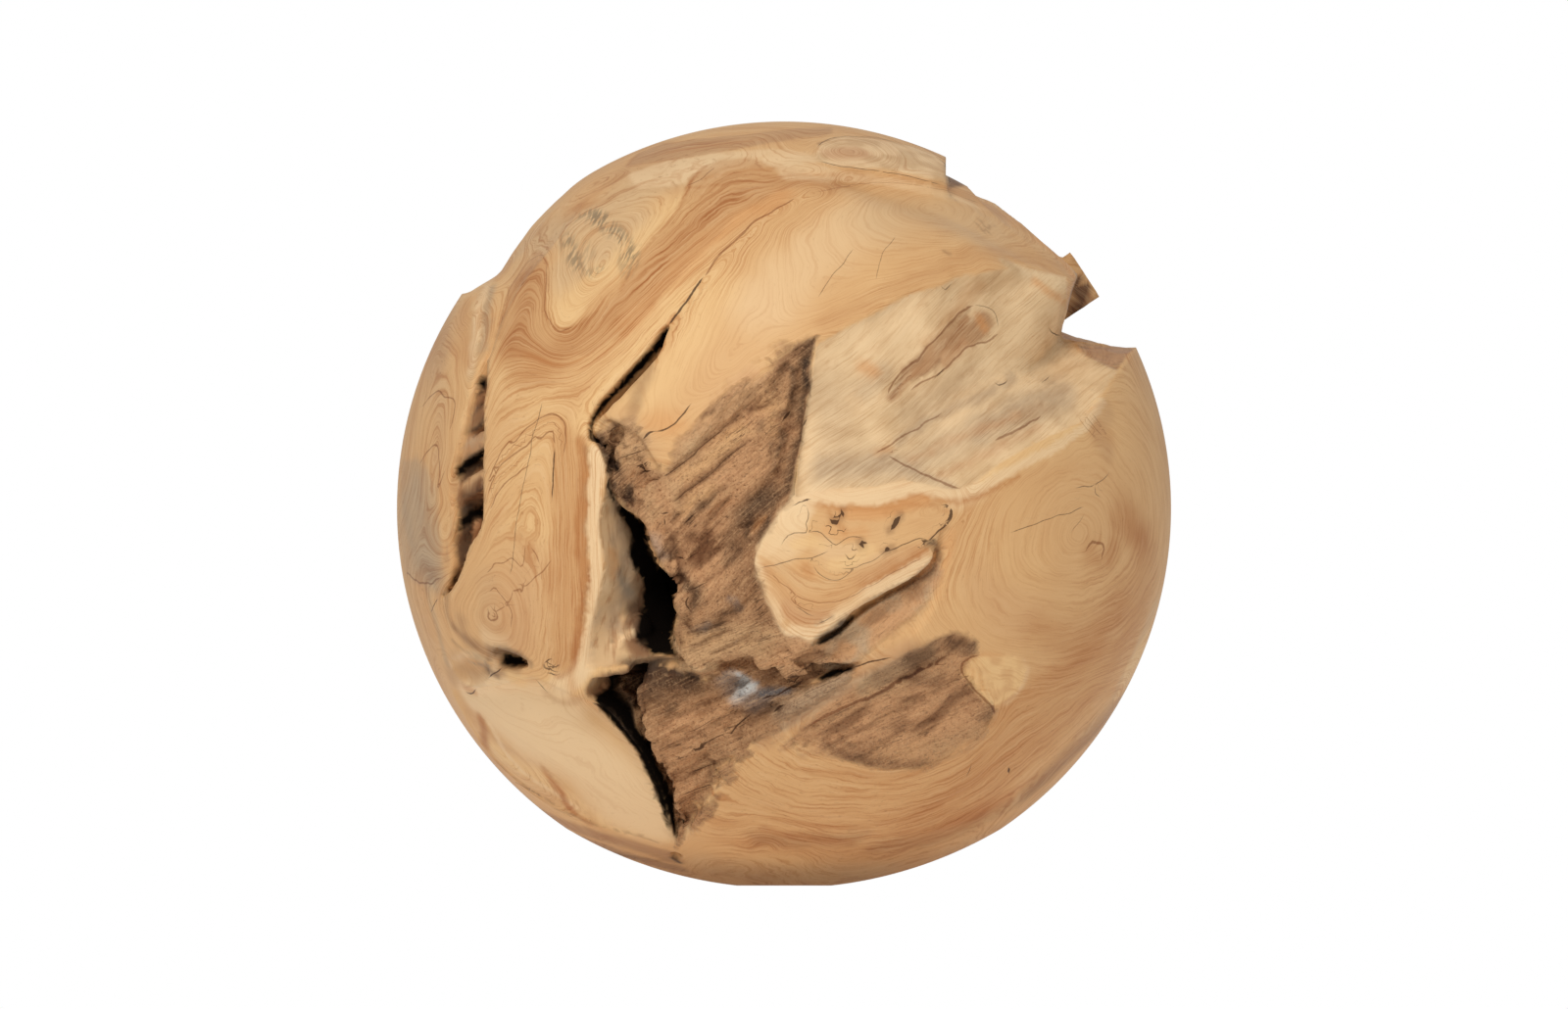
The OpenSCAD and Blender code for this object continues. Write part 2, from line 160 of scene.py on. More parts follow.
def strands(p, octaves, seed=0, gain=0.5):
    """Rounded strands with sharp furrows between them, from -1 to 1."""
    total = np.zeros(len(p), np.float32)
    size, strength = 1.0, 1.0
    for k in range(octaves):
        total += strength * (2 * np.sqrt(np.abs(noise(p * size + OCTAVE_SHIFT * k, seed + k)) + 0.001) - 1)
        size *= OCTAVE_STEP
        strength *= gain
    return total


def fractal(p, octaves, seed=0, gain=0.5):
    """Noise in several octaves, each weaker than the one before by gain."""
    total = np.zeros(len(p), np.float32)
    size, strength = 1.0, 1.0
    for k in range(octaves):
        total += strength * noise(p * size + OCTAVE_SHIFT * k, seed + k)
        size *= OCTAVE_STEP
        strength *= gain
    return total


def lift(points):
    """Front-view points put on the ball's front surface."""
    out = []
    for x, z in points:
        reach = min(math.hypot(x, z), BALL_R * RIM)
        scale = reach / max(math.hypot(x, z), 1e-6)
        out.append((x * scale, -math.sqrt(BALL_R ** 2 - reach ** 2), z * scale))
    return np.array(out)


def curve(points, steps=6):
    """A smooth line through the points."""
    p = np.array(points, float)
    if len(p) < 3:
        t = np.linspace(0, 1, steps + 1)[:, None]
        return p[0] + (p[-1] - p[0]) * t
    q = np.vstack([2 * p[0] - p[1], p, 2 * p[-1] - p[-2]])
    out = []
    for i in range(1, len(q) - 2):
        a, b, c, d = q[i - 1], q[i], q[i + 1], q[i + 2]
        for s in range(steps):
            t = s / steps
            out.append(0.5 * (2 * b + (c - a) * t + (2 * a - 5 * b + 4 * c - d) * t * t
                              + (3 * b - a - 3 * c + d) * t ** 3))
    out.append(q[-2])
    return np.array(out)


def inside(outline, x, z):
    """Signed distance to a closed outline on the front view: positive inside."""
    o = np.array(outline, float)
    best = np.full(len(x), 1e9)
    odd = np.zeros(len(x), bool)
    for a, b in zip(o, np.roll(o, -1, axis=0)):
        e = b - a
        t = np.clip(((x - a[0]) * e[0] + (z - a[1]) * e[1]) / max(e @ e, 1e-9), 0, 1)
        best = np.minimum(best, np.hypot(x - a[0] - t * e[0], z - a[1] - t * e[1]))
        crosses = (a[1] > z) != (b[1] > z)
        if a[1] != b[1]:
            odd ^= crosses & (x < (b[0] - a[0]) * (z - a[1]) / (b[1] - a[1]) + a[0])
    return np.where(odd, best, -best)


def zone(outline, x, z, soft, into=None):
    """0 outside an outline and 1 inside it, softly from soft mm outside to as many, or into, inside."""
    return smooth(-soft, soft if into is None else into, inside(outline, x, z))


def turned_radius(d):
    """Distance from the centre to the turned surface, in direction d."""
    sag = BELLY_R - math.sqrt(BELLY_R ** 2 - REST_FACE_R ** 2)
    c = BELLY_R - REST_H - sag
    dz = d[:, 2]
    belly = c * dz + np.sqrt(np.maximum(c * c * dz * dz - c * c + BELLY_R ** 2, 0))
    rest = np.where(dz < -0.5, REST_H / np.maximum(-dz, 0.5), 1e9)
    return np.minimum(np.minimum(BALL_R, belly), rest)


# ---------------------------------------------------------------- places, as read on the front view

HEART = front([(832, 342), (822, 417), (806, 513), (796, 521), (783, 541), (773, 560), (769, 574),
    (772, 588), (785, 620), (800, 648), (829, 658), (860, 679), (838, 690), (822, 700), (792, 702),
    (748, 692), (716, 692), (696, 684), (690, 668), (686, 656), (691, 631), (683, 589), (664, 556),
    (660, 536), (637, 515), (623, 500), (615, 463), (605, 445), (640, 425), (656, 449), (659, 467),
    (679, 483), (694, 460), (751, 398), (791, 367)])
BARK_EDGE = front([(603, 432), (622, 424), (640, 438), (654, 470), (664, 500), (680, 530), (694, 570),
    (704, 610), (706, 640), (700, 662), (690, 670), (684, 655), (689, 631), (688, 614), (681, 589),
    (662, 556), (658, 536), (635, 515), (621, 499), (615, 457)])
LEDGE = front([(690, 640), (740, 648), (790, 640), (829, 658), (880, 640), (870, 676), (822, 700),
    (792, 702), (748, 692), (716, 692), (693, 676)])
LOWER = front([(700, 690), (720, 695), (745, 684), (790, 702), (830, 700), (872, 680), (862, 700),
    (800, 735), (755, 770), (722, 818), (704, 845), (690, 868), (684, 803), (668, 778), (652, 747),
    (646, 724), (622, 690), (660, 684)])
PATCH = front([(800, 757), (840, 722), (911, 676), (976, 644), (996, 654), (994, 667), (981, 684),
    (1015, 728), (1000, 754), (946, 784), (903, 785), (870, 777), (816, 762)])
BAND = front([(829, 658), (858, 640), (900, 610), (957, 569), (962, 585), (945, 618), (905, 650),
    (860, 690), (840, 684)])
HOLLOW = front([(833, 350), (862, 335), (892, 319), (931, 296), (962, 292), (993, 268), (1021, 264),
    (1049, 274), (1088, 283), (1090, 341), (1100, 359), (1152, 384), (1122, 403), (1103, 431), (1061, 451),
    (1018, 476), (982, 502), (944, 495), (921, 489), (890, 499), (852, 500), (829, 503), (808, 514),
    (822, 417)])
STRAP_SIDE = front([(606, 452), (617, 462), (625, 499), (635, 516), (650, 549), (660, 580), (662, 599),
    (657, 625), (664, 668), (694, 672), (660, 682), (634, 682), (604, 698), (592, 712), (596, 679),
    (600, 648), (605, 622), (609, 603), (614, 587), (616, 566), (609, 545), (610, 528), (614, 509),
    (617, 490), (612, 467)])
SLOT = front([(495, 369), (482, 391), (472, 431), (459, 484), (459, 515), (463, 538), (460, 575),
    (450, 609), (470, 592), (484, 556), (489, 542), (495, 536), (494, 437), (497, 395)])
LOWER_WALL = front([(598, 712), (622, 690), (660, 680), (700, 684), (718, 690), (700, 705), (668, 700),
    (646, 724), (652, 747), (668, 775), (686, 805), (690, 868), (675, 820), (652, 772), (625, 734)])
CUT_END = front([(1100, 352), (1153, 354), (1185, 392), (1150, 396), (1124, 384), (1110, 376)])
WEDGE = front([(983, 690), (986, 680), (992, 672), (1004, 669), (1030, 669), (1044, 674), (1049, 684),
    (1044, 698), (1030, 712), (1018, 721), (1008, 722), (996, 708)])
LEDGE_FACE = front([(832, 163), (836, 147), (850, 141), (864, 139), (894, 142), (933, 150), (955, 159),
    (968, 170), (971, 189), (955, 185), (912, 176), (881, 172), (847, 168)])
SPIKE = front([(966, 166), (978, 174), (990, 186), (982, 190), (968, 192)])
TOP_FLOOR = front([(784, 172), (850, 177), (912, 181), (955, 191), (985, 201), (1010, 215), (1084, 262),
    (1090, 280), (990, 292), (900, 240), (800, 196)])
TOP_LOBE = front([(790, 176), (808, 185), (848, 205), (884, 223), (932, 239), (980, 259), (1064, 303),
    (1064, 420), (790, 420)])
VALLEY = front([(650, 110), (460, 200), (400, 330), (490, 360), (560, 240), (670, 165)])
BACK_ROOT = front([(1085, 260), (1097, 268), (1100, 281), (1093, 299), (1087, 328), (1124, 306),
    (1126, 300), (1098, 253)])
VOIDS = [front(outline) for outline in (
    [(717, 283), (702, 305), (683, 334), (690, 338), (673, 359), (659, 373), (642, 392), (631, 402),
        (617, 417), (606, 432), (605, 447), (616, 466), (623, 499), (631, 516), (637, 515), (660, 536),
        (662, 556), (670, 574), (683, 589), (690, 614), (691, 631), (686, 656), (692, 670), (664, 668),
        (648, 650), (652, 632), (655, 619), (657, 599), (648, 581), (640, 563), (644, 549), (630, 523),
        (621, 503), (615, 480), (604, 456), (598, 444), (602, 428), (615, 408), (630, 392), (646, 374),
        (663, 356), (676, 340), (682, 328), (700, 303)],
    [(618, 685), (630, 681), (634, 692), (631, 704), (642, 716), (646, 726), (648, 738), (657, 751),
        (668, 760), (669, 778), (677, 790), (685, 803), (689, 831), (691, 870), (686, 864), (679, 840),
        (668, 806), (655, 776), (640, 755), (625, 737), (610, 720), (606, 712), (616, 706), (622, 698)],
    [(496, 380), (483, 390), (480, 397), (495, 396)],
    [(463, 478), (495, 458), (495, 466), (462, 492)],
    [(462, 534), (478, 520), (494, 514), (494, 526), (484, 534), (463, 546)],
    [(462, 580), (456, 600), (450, 609), (456, 610), (466, 594), (470, 580)],
    [(512, 668), (522, 666), (534, 669), (541, 678), (532, 681), (519, 680), (508, 684)],
    [(827, 695), (850, 682), (874, 680), (866, 688), (845, 695)],
    [(829, 657), (858, 641), (868, 628), (872, 630), (858, 648), (838, 658)],
)]

# ---------------------------------------------------------------- the carved surface


def coordinates(mesh):
    """The vertices in millimetres."""
    co = np.empty(len(mesh.vertices) * 3, np.float32)
    mesh.vertices.foreach_get("co", co)
    return co.reshape(-1, 3).astype(np.float64) * MM


def set_coordinates(mesh, p):
    mesh.vertices.foreach_set("co", (p / MM).astype(np.float32).ravel())
    mesh.update()


def normals(mesh):
    n = np.empty(len(mesh.vertices) * 3, np.float32)
    mesh.vertex_normals.foreach_get("vector", n)
    return n.reshape(-1, 3)


def along(p, degrees, across_mm, along_mm, deep_mm):
    """Coordinates of points in wood whose fibres run at that slant on the front view."""
    c, s = math.cos(math.radians(degrees)), math.sin(math.radians(degrees))
    return np.stack([(-s * p[:, 0] + c * p[:, 2]) / across_mm, (c * p[:, 0] + s * p[:, 2]) / along_mm,
                     p[:, 1] / deep_mm], axis=1)


def waver(p, cell, seeds, octaves=1):
    """A slow shift in three directions at each point, in cells of that many millimetres."""
    return np.stack([fractal(p / cell, octaves, seed) for seed in seeds], axis=1)


def warped(p):
    """Points moved a little, so that the fibres through them run in waves."""
    return p + 5 * waver(p, 25, (1, 2, 3))


def weather(p):
    """Relief of the weathered zones in millimetres, each along its own grain."""
    warp = warped(p)

    def lumps(height, slant, sizes, octaves, seed, gain=0.5):
        return height * fractal(along(warp, slant, *sizes), octaves, seed, gain)

    def cords(height, slant, sizes, octaves, seed):
        return height * strands(along(warp, slant, *sizes), octaves, seed)

    def flakes(height, slant, sizes, octaves, seed):
        return height * np.floor(4 * fractal(along(warp, slant, *sizes), octaves, seed)) / 2

    return {
        "heart": (lumps(2.4, HEART_SLANT, (10, 26, 18), 4, 10, 0.55)
                  + cords(0.8, HEART_SLANT, (8, 60, 18), 2, 13)
                  + flakes(0.8, HEART_SLANT, (9, 26, 14), 2, 16)),
        "bark": lumps(4.5, BARK_SLANT, (7, 10, 10), 4, 70, 0.6),
        "ledge": lumps(2.6, LEDGE_SLANT, (9, 30, 12), 3, 20) + cords(0.9, LEDGE_SLANT, (7, 70, 14), 2, 23),
        "lower": (lumps(2.6, LOWER_SLANT, (9, 30, 14), 4, 30, 0.6)
                  + cords(1.2, LOWER_SLANT, (8, 60, 14), 3, 33)
                  + flakes(0.7, LOWER_SLANT, (8, 40, 16), 2, 36)),
        "patch": lumps(1.6, PATCH_SLANT, (8, 26, 12), 3, 40) + cords(0.5, PATCH_SLANT, (6, 50, 12), 2, 43),
        "band": lumps(1.2, BAND_SLANT, (9, 30, 12), 3, 50),
    }


def front_surface(p):
    """The points of the ball's surface in front of, or behind, the points p."""
    flat = np.hypot(p[:, 0], p[:, 2])
    shrink = np.minimum(1, BALL_R * RIM / np.maximum(flat, 1e-6))
    reach = np.sqrt(np.maximum(BALL_R ** 2 - (flat * shrink) ** 2, 0))
    return np.stack([p[:, 0] * shrink, np.where(p[:, 1] < 0, -reach, reach), p[:, 2] * shrink], axis=1)


def carve(mesh):
    """Weathered fibres, broken edges and soft unevenness, as moves of the vertices."""
    p = coordinates(mesh)
    n = normals(mesh)
    r = np.linalg.norm(p, axis=1)
    d = p / r[:, None]
    top = turned_radius(d)
    depth = top - r
    x, y, z = p.T
    facing = y < 0

    # floors of the hollows, in millimetres below the turned surface
    keep = smooth(0.45, 1.3, depth)
    bed = depth * keep
    bed *= 1 - zone(VALLEY, x, z, 5) * smooth(*VALLEY_FADE, x)
    bed *= 1 - zone(TOP_FLOOR, x, z, 5) * smooth(LOBE_SOFT, 0, -inside(TOP_LOBE, x, z)) * facing
    ledge_end = (smooth(-1, 1, x - LEDGE_END_X) * smooth(*LEDGE_END_RIGHT, x) * smooth(*LEDGE_END_FRONT, y)
                 * smooth(*LEDGE_END_BACK, y) * smooth(*LEDGE_END_UNDER, z))
    bed = np.maximum(bed, LEDGE_END_DEPTH * ledge_end)
    keep = np.maximum(keep, ledge_end)
    p = d * (top - bed)[:, None]

    below = smooth(0.6, 3.5, depth) * facing
    shallow = smooth(0.4, 2, depth)
    heart = zone(HEART, x, z, 1, 3) * below
    bark = zone(BARK_EDGE, x, z, 2, 4) * below
    ledge = zone(LEDGE, x, z, 1, 4) * below
    lower = zone(LOWER, x, z, 1, 3) * below
    patch = zone(PATCH, x, z, 1, 3) * facing * shallow
    band = zone(BAND, x, z, 1, 3) * facing * shallow
    hollow = zone(HOLLOW, x, z, 1, 3) * facing * smooth(0.6, 2.5, depth)

    relief = weather(p)
    move = (heart * (1 - ledge) * (1 - bark) * relief["heart"] + ledge * relief["ledge"]
            + bark * relief["bark"] + lower * relief["lower"])
    move += patch * relief["patch"] + band * relief["band"]
    warp = warped(p)
    move += hollow * (0.25 * fractal(along(warp, HOLLOW_SLANT, 5, 60, 12), 2, 60)
                      + 2.2 * noise(along(warp, HOLLOW_SLANT, 24, 80, 40), 64))
    far, half = line_field(FURROWS, front_surface(p))
    move -= np.maximum.reduce([heart, lower, patch]) * half * np.exp(-(far / np.maximum(half, 0.1)) ** 2)
    walls = smooth(6, 16, depth) * facing * (1 - heart) * (1 - lower) * (1 - hollow)
    move += walls * 0.9 * fractal(p / 10, 3, 80)
    ridge = smooth(0.5, 4, depth) * facing * smooth(6, 1, np.abs(inside(LOWER, x, z))) * lower
    move += ridge * 0.8 * fractal(p / 5, 2, 90)

    p = p + n * move[:, None]
    r = np.linalg.norm(p, axis=1)
    p *= (np.minimum(r, top - 0.05 * keep) / r)[:, None]
    set_coordinates(mesh, p)


def vertex_group(obj, name, weight, shades=12):
    """A vertex group with the weights rounded to a few shades."""
    group = obj.vertex_groups.new(name=name)
    levels = np.round(weight * shades).astype(int)
    for level in np.unique(levels[levels > 0]):
        group.add(np.flatnonzero(levels == level).tolist(), level / shades, "REPLACE")


def applied(obj):
    """Takes the modifiers' result as the object's own mesh and gives it back."""
    depsgraph = bpy.context.evaluated_depsgraph_get()
    mesh = bpy.data.meshes.new_from_object(obj.evaluated_get(depsgraph))
    obj.modifiers.clear()
    obj.vertex_groups.clear()
    obj.data = mesh
    return mesh


def carved_ball():
    """The CAD solid as one fine mesh, smoothed where the turned surface is worn, carved and thinned out."""
    ball = bpy.data.objects.new("teak_ball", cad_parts["root_ball"].data.copy())
    bpy.context.scene.collection.objects.link(ball)
    weld = ball.modifiers.new("weld", "WELD")
    weld.merge_threshold = 1e-6
    remesh = ball.modifiers.new("remesh", "REMESH")
    remesh.mode = "VOXEL"
    remesh.voxel_size = VOXEL

    x, y, z = coordinates(applied(ball)).T
    vertex_group(ball, "worn", smooth(-4, 4, np.maximum(inside(VALLEY, x, z), inside(TOP_FLOOR, x, z))))
    worn = ball.modifiers.new("worn", "SMOOTH")
    worn.factor = 0.5
    worn.iterations = SMOOTHING_ROUNDS
    worn.vertex_group = "worn"

    fine = applied(ball)
    carve(fine)
    vertex_group(ball, "coarse", 0.12 + 0.43 * smooth(-30, 30, coordinates(fine)[:, 1]))
    decimate = ball.modifiers.new("decimate", "DECIMATE")
    decimate.ratio = TRIANGLES / (2 * len(fine.polygons))
    decimate.vertex_group = "coarse"
    decimate.vertex_group_factor = 1.0
    decimate.use_collapse_triangulate = True
    applied(ball).shade_smooth()
    return ball


# ---------------------------------------------------------------- the wood's figure
# Growth lines of the turned surface: the level of each across the rings, and points along it.
FIGURE = drawn(
    (0, [(610, 262), (614, 256)]),
    (5, [(588, 262), (594, 286), (612, 290), (634, 266), (644, 238), (628, 226), (602, 238)]),
    (10, [(574, 264), (580, 305), (598, 308), (640, 266), (672, 222), (668, 200), (632, 208), (592, 224)]),
    (14, [(509, 332), (517, 304), (531, 275), (545, 260), (556, 262), (559, 285), (557, 312), (562, 329),
        (572, 338), (585, 334), (601, 316), (621, 293), (650, 267), (674, 242), (703, 210), (735, 186),
        (780, 172), (826, 168)]),
    (12, [(560, 245), (580, 215), (613, 195), (654, 176), (705, 160), (756, 156)]),
    (17, [(530, 250), (552, 222), (596, 186), (650, 160), (710, 143), (780, 137)]),
    (22, [(505, 285), (530, 240), (565, 207), (610, 170), (660, 147)]),
    (18, [(507, 352), (518, 325), (532, 302), (543, 296), (549, 312), (553, 338), (568, 352), (588, 348),
        (618, 322), (660, 282), (700, 245), (740, 210), (800, 190), (850, 181)]),
    (22, [(503, 372), (513, 350), (528, 336), (541, 345), (560, 360), (584, 362), (612, 344), (652, 304),
        (700, 262), (750, 222), (800, 199)]),
    (27, [(500, 395), (518, 370), (545, 368), (575, 378), (618, 352), (670, 302), (720, 258), (762, 226)]),
    (33, [(500, 432), (525, 402), (556, 392), (590, 390), (630, 360), (680, 308), (725, 268), (765, 236)]),
    (36, [(598, 408), (640, 366), (680, 318), (717, 279), (752, 248), (790, 216)]),
    (38, [(497, 470), (520, 446), (547, 430), (564, 423), (577, 432), (582, 465), (585, 520), (588, 600),
        (586, 680)]),
    (43, [(498, 498), (518, 474), (541, 454), (560, 441), (568, 455), (571, 520), (573, 600), (570, 682)]),
    (47, [(500, 535), (520, 505), (543, 480), (556, 485), (561, 540), (562, 600), (556, 680)]),
    (50, [(482, 585), (505, 562), (535, 565), (546, 600), (545, 640), (540, 668)]),
    (55, [(478, 622), (488, 602), (505, 597), (522, 608), (530, 634), (522, 655), (500, 658), (484, 645)]),
    (60, [(499, 622), (503, 634)]),
    (31, [(603, 450), (601, 500), (601, 560), (602, 640), (594, 690)]),
    (27, [(612, 460), (611, 500), (609, 560), (611, 620), (604, 670)]),
    (0, [(945, 212), (955, 210)]),
    (6, [(903, 216), (916, 201), (950, 196), (986, 204), (1006, 222), (982, 234), (935, 232)]),
    (12, [(868, 230), (882, 206), (918, 191), (965, 190), (1008, 208), (1042, 236), (1005, 248), (942, 250),
        (890, 250)]),
    (18, [(824, 250), (845, 210), (888, 188), (945, 184), (1000, 199), (1050, 229), (1085, 268),
        (1042, 259), (985, 262), (920, 276), (855, 287)]),
    (24, [(786, 272), (803, 226), (845, 197), (900, 180), (958, 180)]),
    (24, [(786, 272), (786, 312), (802, 330), (842, 320), (890, 300), (945, 281), (1004, 262)]),
    (30, [(862, 183), (800, 210), (765, 256), (735, 318), (716, 368), (718, 397), (742, 388), (785, 362),
        (832, 334), (895, 309), (950, 290)]),
    (35, [(800, 207), (752, 254), (712, 318), (688, 372), (677, 418), (690, 440), (722, 412), (770, 374),
        (830, 342)]),
    (39, [(665, 366), (640, 398), (622, 424), (640, 436), (662, 420)]),
    (0, [(1098, 548), (1104, 552)]),
    (6, [(1070, 552), (1080, 522), (1104, 510), (1126, 526), (1126, 556), (1106, 572), (1082, 572)]),
    (12, [(1032, 558), (1046, 512), (1080, 480), (1118, 472), (1148, 496), (1154, 545), (1130, 588),
        (1090, 602), (1052, 594)]),
    (18, [(1002, 590), (1012, 530), (1045, 482), (1092, 446), (1132, 436), (1168, 476), (1178, 540),
        (1156, 604), (1105, 636), (1050, 638), (1015, 622)]),
    (24, [(972, 604), (986, 545), (1020, 494), (1060, 460), (1106, 434)]),
    (24, [(972, 604), (988, 645), (1034, 668), (1096, 664), (1150, 636), (1184, 575)]),
    (29, [(955, 590), (975, 535), (1005, 498), (1040, 472)]),
    (30, [(960, 632), (1000, 668), (1060, 690), (1120, 678), (1165, 650)]),
    (36, [(748, 764), (790, 792), (850, 806), (920, 806), (980, 784), (1030, 742), (1085, 706),
        (1150, 676)]),
    (42, [(722, 800), (765, 822), (845, 838), (920, 834), (992, 804), (1060, 752), (1120, 706)]),
    (48, [(704, 846), (760, 862), (840, 868), (920, 862), (1000, 830), (1078, 776), (1136, 718)]),
    (52, [(700, 872), (732, 863), (770, 862), (812, 870), (842, 890)]),
    (56, [(716, 884), (742, 876), (768, 879), (790, 894)]),
    (31, [(832, 768), (880, 784), (932, 780), (984, 758)]),
    (27, [(850, 748), (900, 764), (950, 752), (990, 730)]),
    (46, [(468, 708), (540, 760), (610, 806), (684, 862)]),
    (41, [(500, 704), (560, 724), (620, 760), (668, 812)]),
    (14, [(410, 452), (420, 402), (440, 356), (462, 322), (482, 300)]),
    (20, [(418, 460), (430, 388), (452, 343), (470, 362), (468, 420), (457, 480)]),
    (26, [(424, 490), (433, 420), (449, 376), (460, 398), (459, 460), (452, 540)]),
    (32, [(430, 530), (437, 456), (447, 428), (451, 470), (448, 560)]),
    (36, [(424, 600), (436, 640), (460, 690)]),
    (8, [(492, 300), (485, 336), (480, 372)]),
    (28, [(590, 187), (650, 150), (722, 131), (800, 127), (868, 131)]),
    (8, [(858, 153), (870, 156)]),
    (16, [(836, 152), (860, 143), (890, 149), (900, 162), (862, 168), (838, 162)]),
    (30, [(790, 600), (812, 628), (840, 634), (880, 610), (940, 575)]),
    (26, [(784, 585), (815, 612), (845, 620), (880, 600), (935, 568)]),
    (21, [(790, 566), (830, 590), (870, 590), (930, 560)]),
    (16, [(800, 545), (850, 560), (900, 555), (945, 540)]),
    (12, [(820, 520), (870, 528), (920, 526), (965, 524)]),
    (36, [(835, 485), (880, 432), (930, 382), (990, 336), (1040, 300)]),
    (32, [(838, 402), (880, 362), (930, 322), (968, 298)]),
    (38, [(862, 495), (930, 442), (1000, 392), (1060, 352), (1088, 330)]),
    (36, [(905, 486), (970, 462), (1050, 420), (1106, 384)]),
)
# Centres of growth rings on the sides, top and back: direction, slant of the long axis,
# length over width.
FAR_CENTRES = [
    ((0.85, 0.45, 0.2), 60, 2.2), ((0.5, 0.8, -0.35), 20, 1.6), ((-0.1, 0.95, 0.3), -30, 2.5),
    ((-0.7, 0.65, -0.2), 80, 2.0), ((-0.6, 0.5, 0.62), 40, 1.7), ((0.15, 0.4, 0.9), 10, 2.4),
    ((0.1, 0.35, -0.93), -20, 2.0), ((0.75, 0.2, -0.62), 35, 1.8), ((-0.85, 0.1, -0.5), 70, 2.4),
]
# Levels of their rings, millimetres to a level, points on each ring, and how far behind the middle of the
# ball a point has to lie to count.
FAR_RINGS = (0, 12, 24, 38)
FAR_RING_STEP = 1.6
FAR_RING_POINTS = 8
FAR_START = 35


def figure_points():
    """Points and levels that the growth lines pass through, front and far."""
    points, levels = [], []
    for level, line in FIGURE:
        for q in lift(curve(line, 2)):
            points.append(q)
            levels.append(level)
    for direction, slant, ratio in FAR_CENTRES:
        n = np.array(direction)
        n /= np.linalg.norm(n)
        a = np.cross(n, (0.0, 0.0, 1.0))
        a /= np.linalg.norm(a)
        b = np.cross(n, a)
        c, s = math.cos(math.radians(slant)), math.sin(math.radians(slant))
        for level in FAR_RINGS:
            for k in range(FAR_RING_POINTS if level else 1):
                t = k * math.tau / FAR_RING_POINTS
                u = level * FAR_RING_STEP * math.cos(t) * math.sqrt(ratio)
                v = level * FAR_RING_STEP * math.sin(t) / math.sqrt(ratio)
                q = n * BALL_R + a * (u * c - v * s) + b * (u * s + v * c)
                q *= BALL_R / np.linalg.norm(q)
                if q[1] > FAR_START:
                    points.append(q)
                    levels.append(level)
    return np.array(points), np.array(levels, float)


def spline_field(points, values, at, ease=3e-5):
    """A smooth field through the values at the points, evaluated at other points."""
    p = points / BALL_R
    q = at / BALL_R
    size = np.linalg.norm(p[:, None] - p[None], axis=2) ** 3
    n = len(p)
    size[np.arange(n), np.arange(n)] += ease
    linear = np.hstack([np.ones((n, 1)), p])
    system = np.block([[size, linear], [linear.T, np.zeros((4, 4))]])
    weights = np.linalg.solve(system, np.concatenate([values, np.zeros(4)]))
    out = np.empty(len(q))
    for start in range(0, len(q), SPLINE_BATCH):
        part = q[start:start + SPLINE_BATCH]
        reach = np.linalg.norm(part[:, None] - p[None], axis=2) ** 3
        flat = np.hstack([np.ones((len(part), 1)), part])
        out[start:start + SPLINE_BATCH] = reach @ weights[:n] + flat @ weights[n:]
    return out


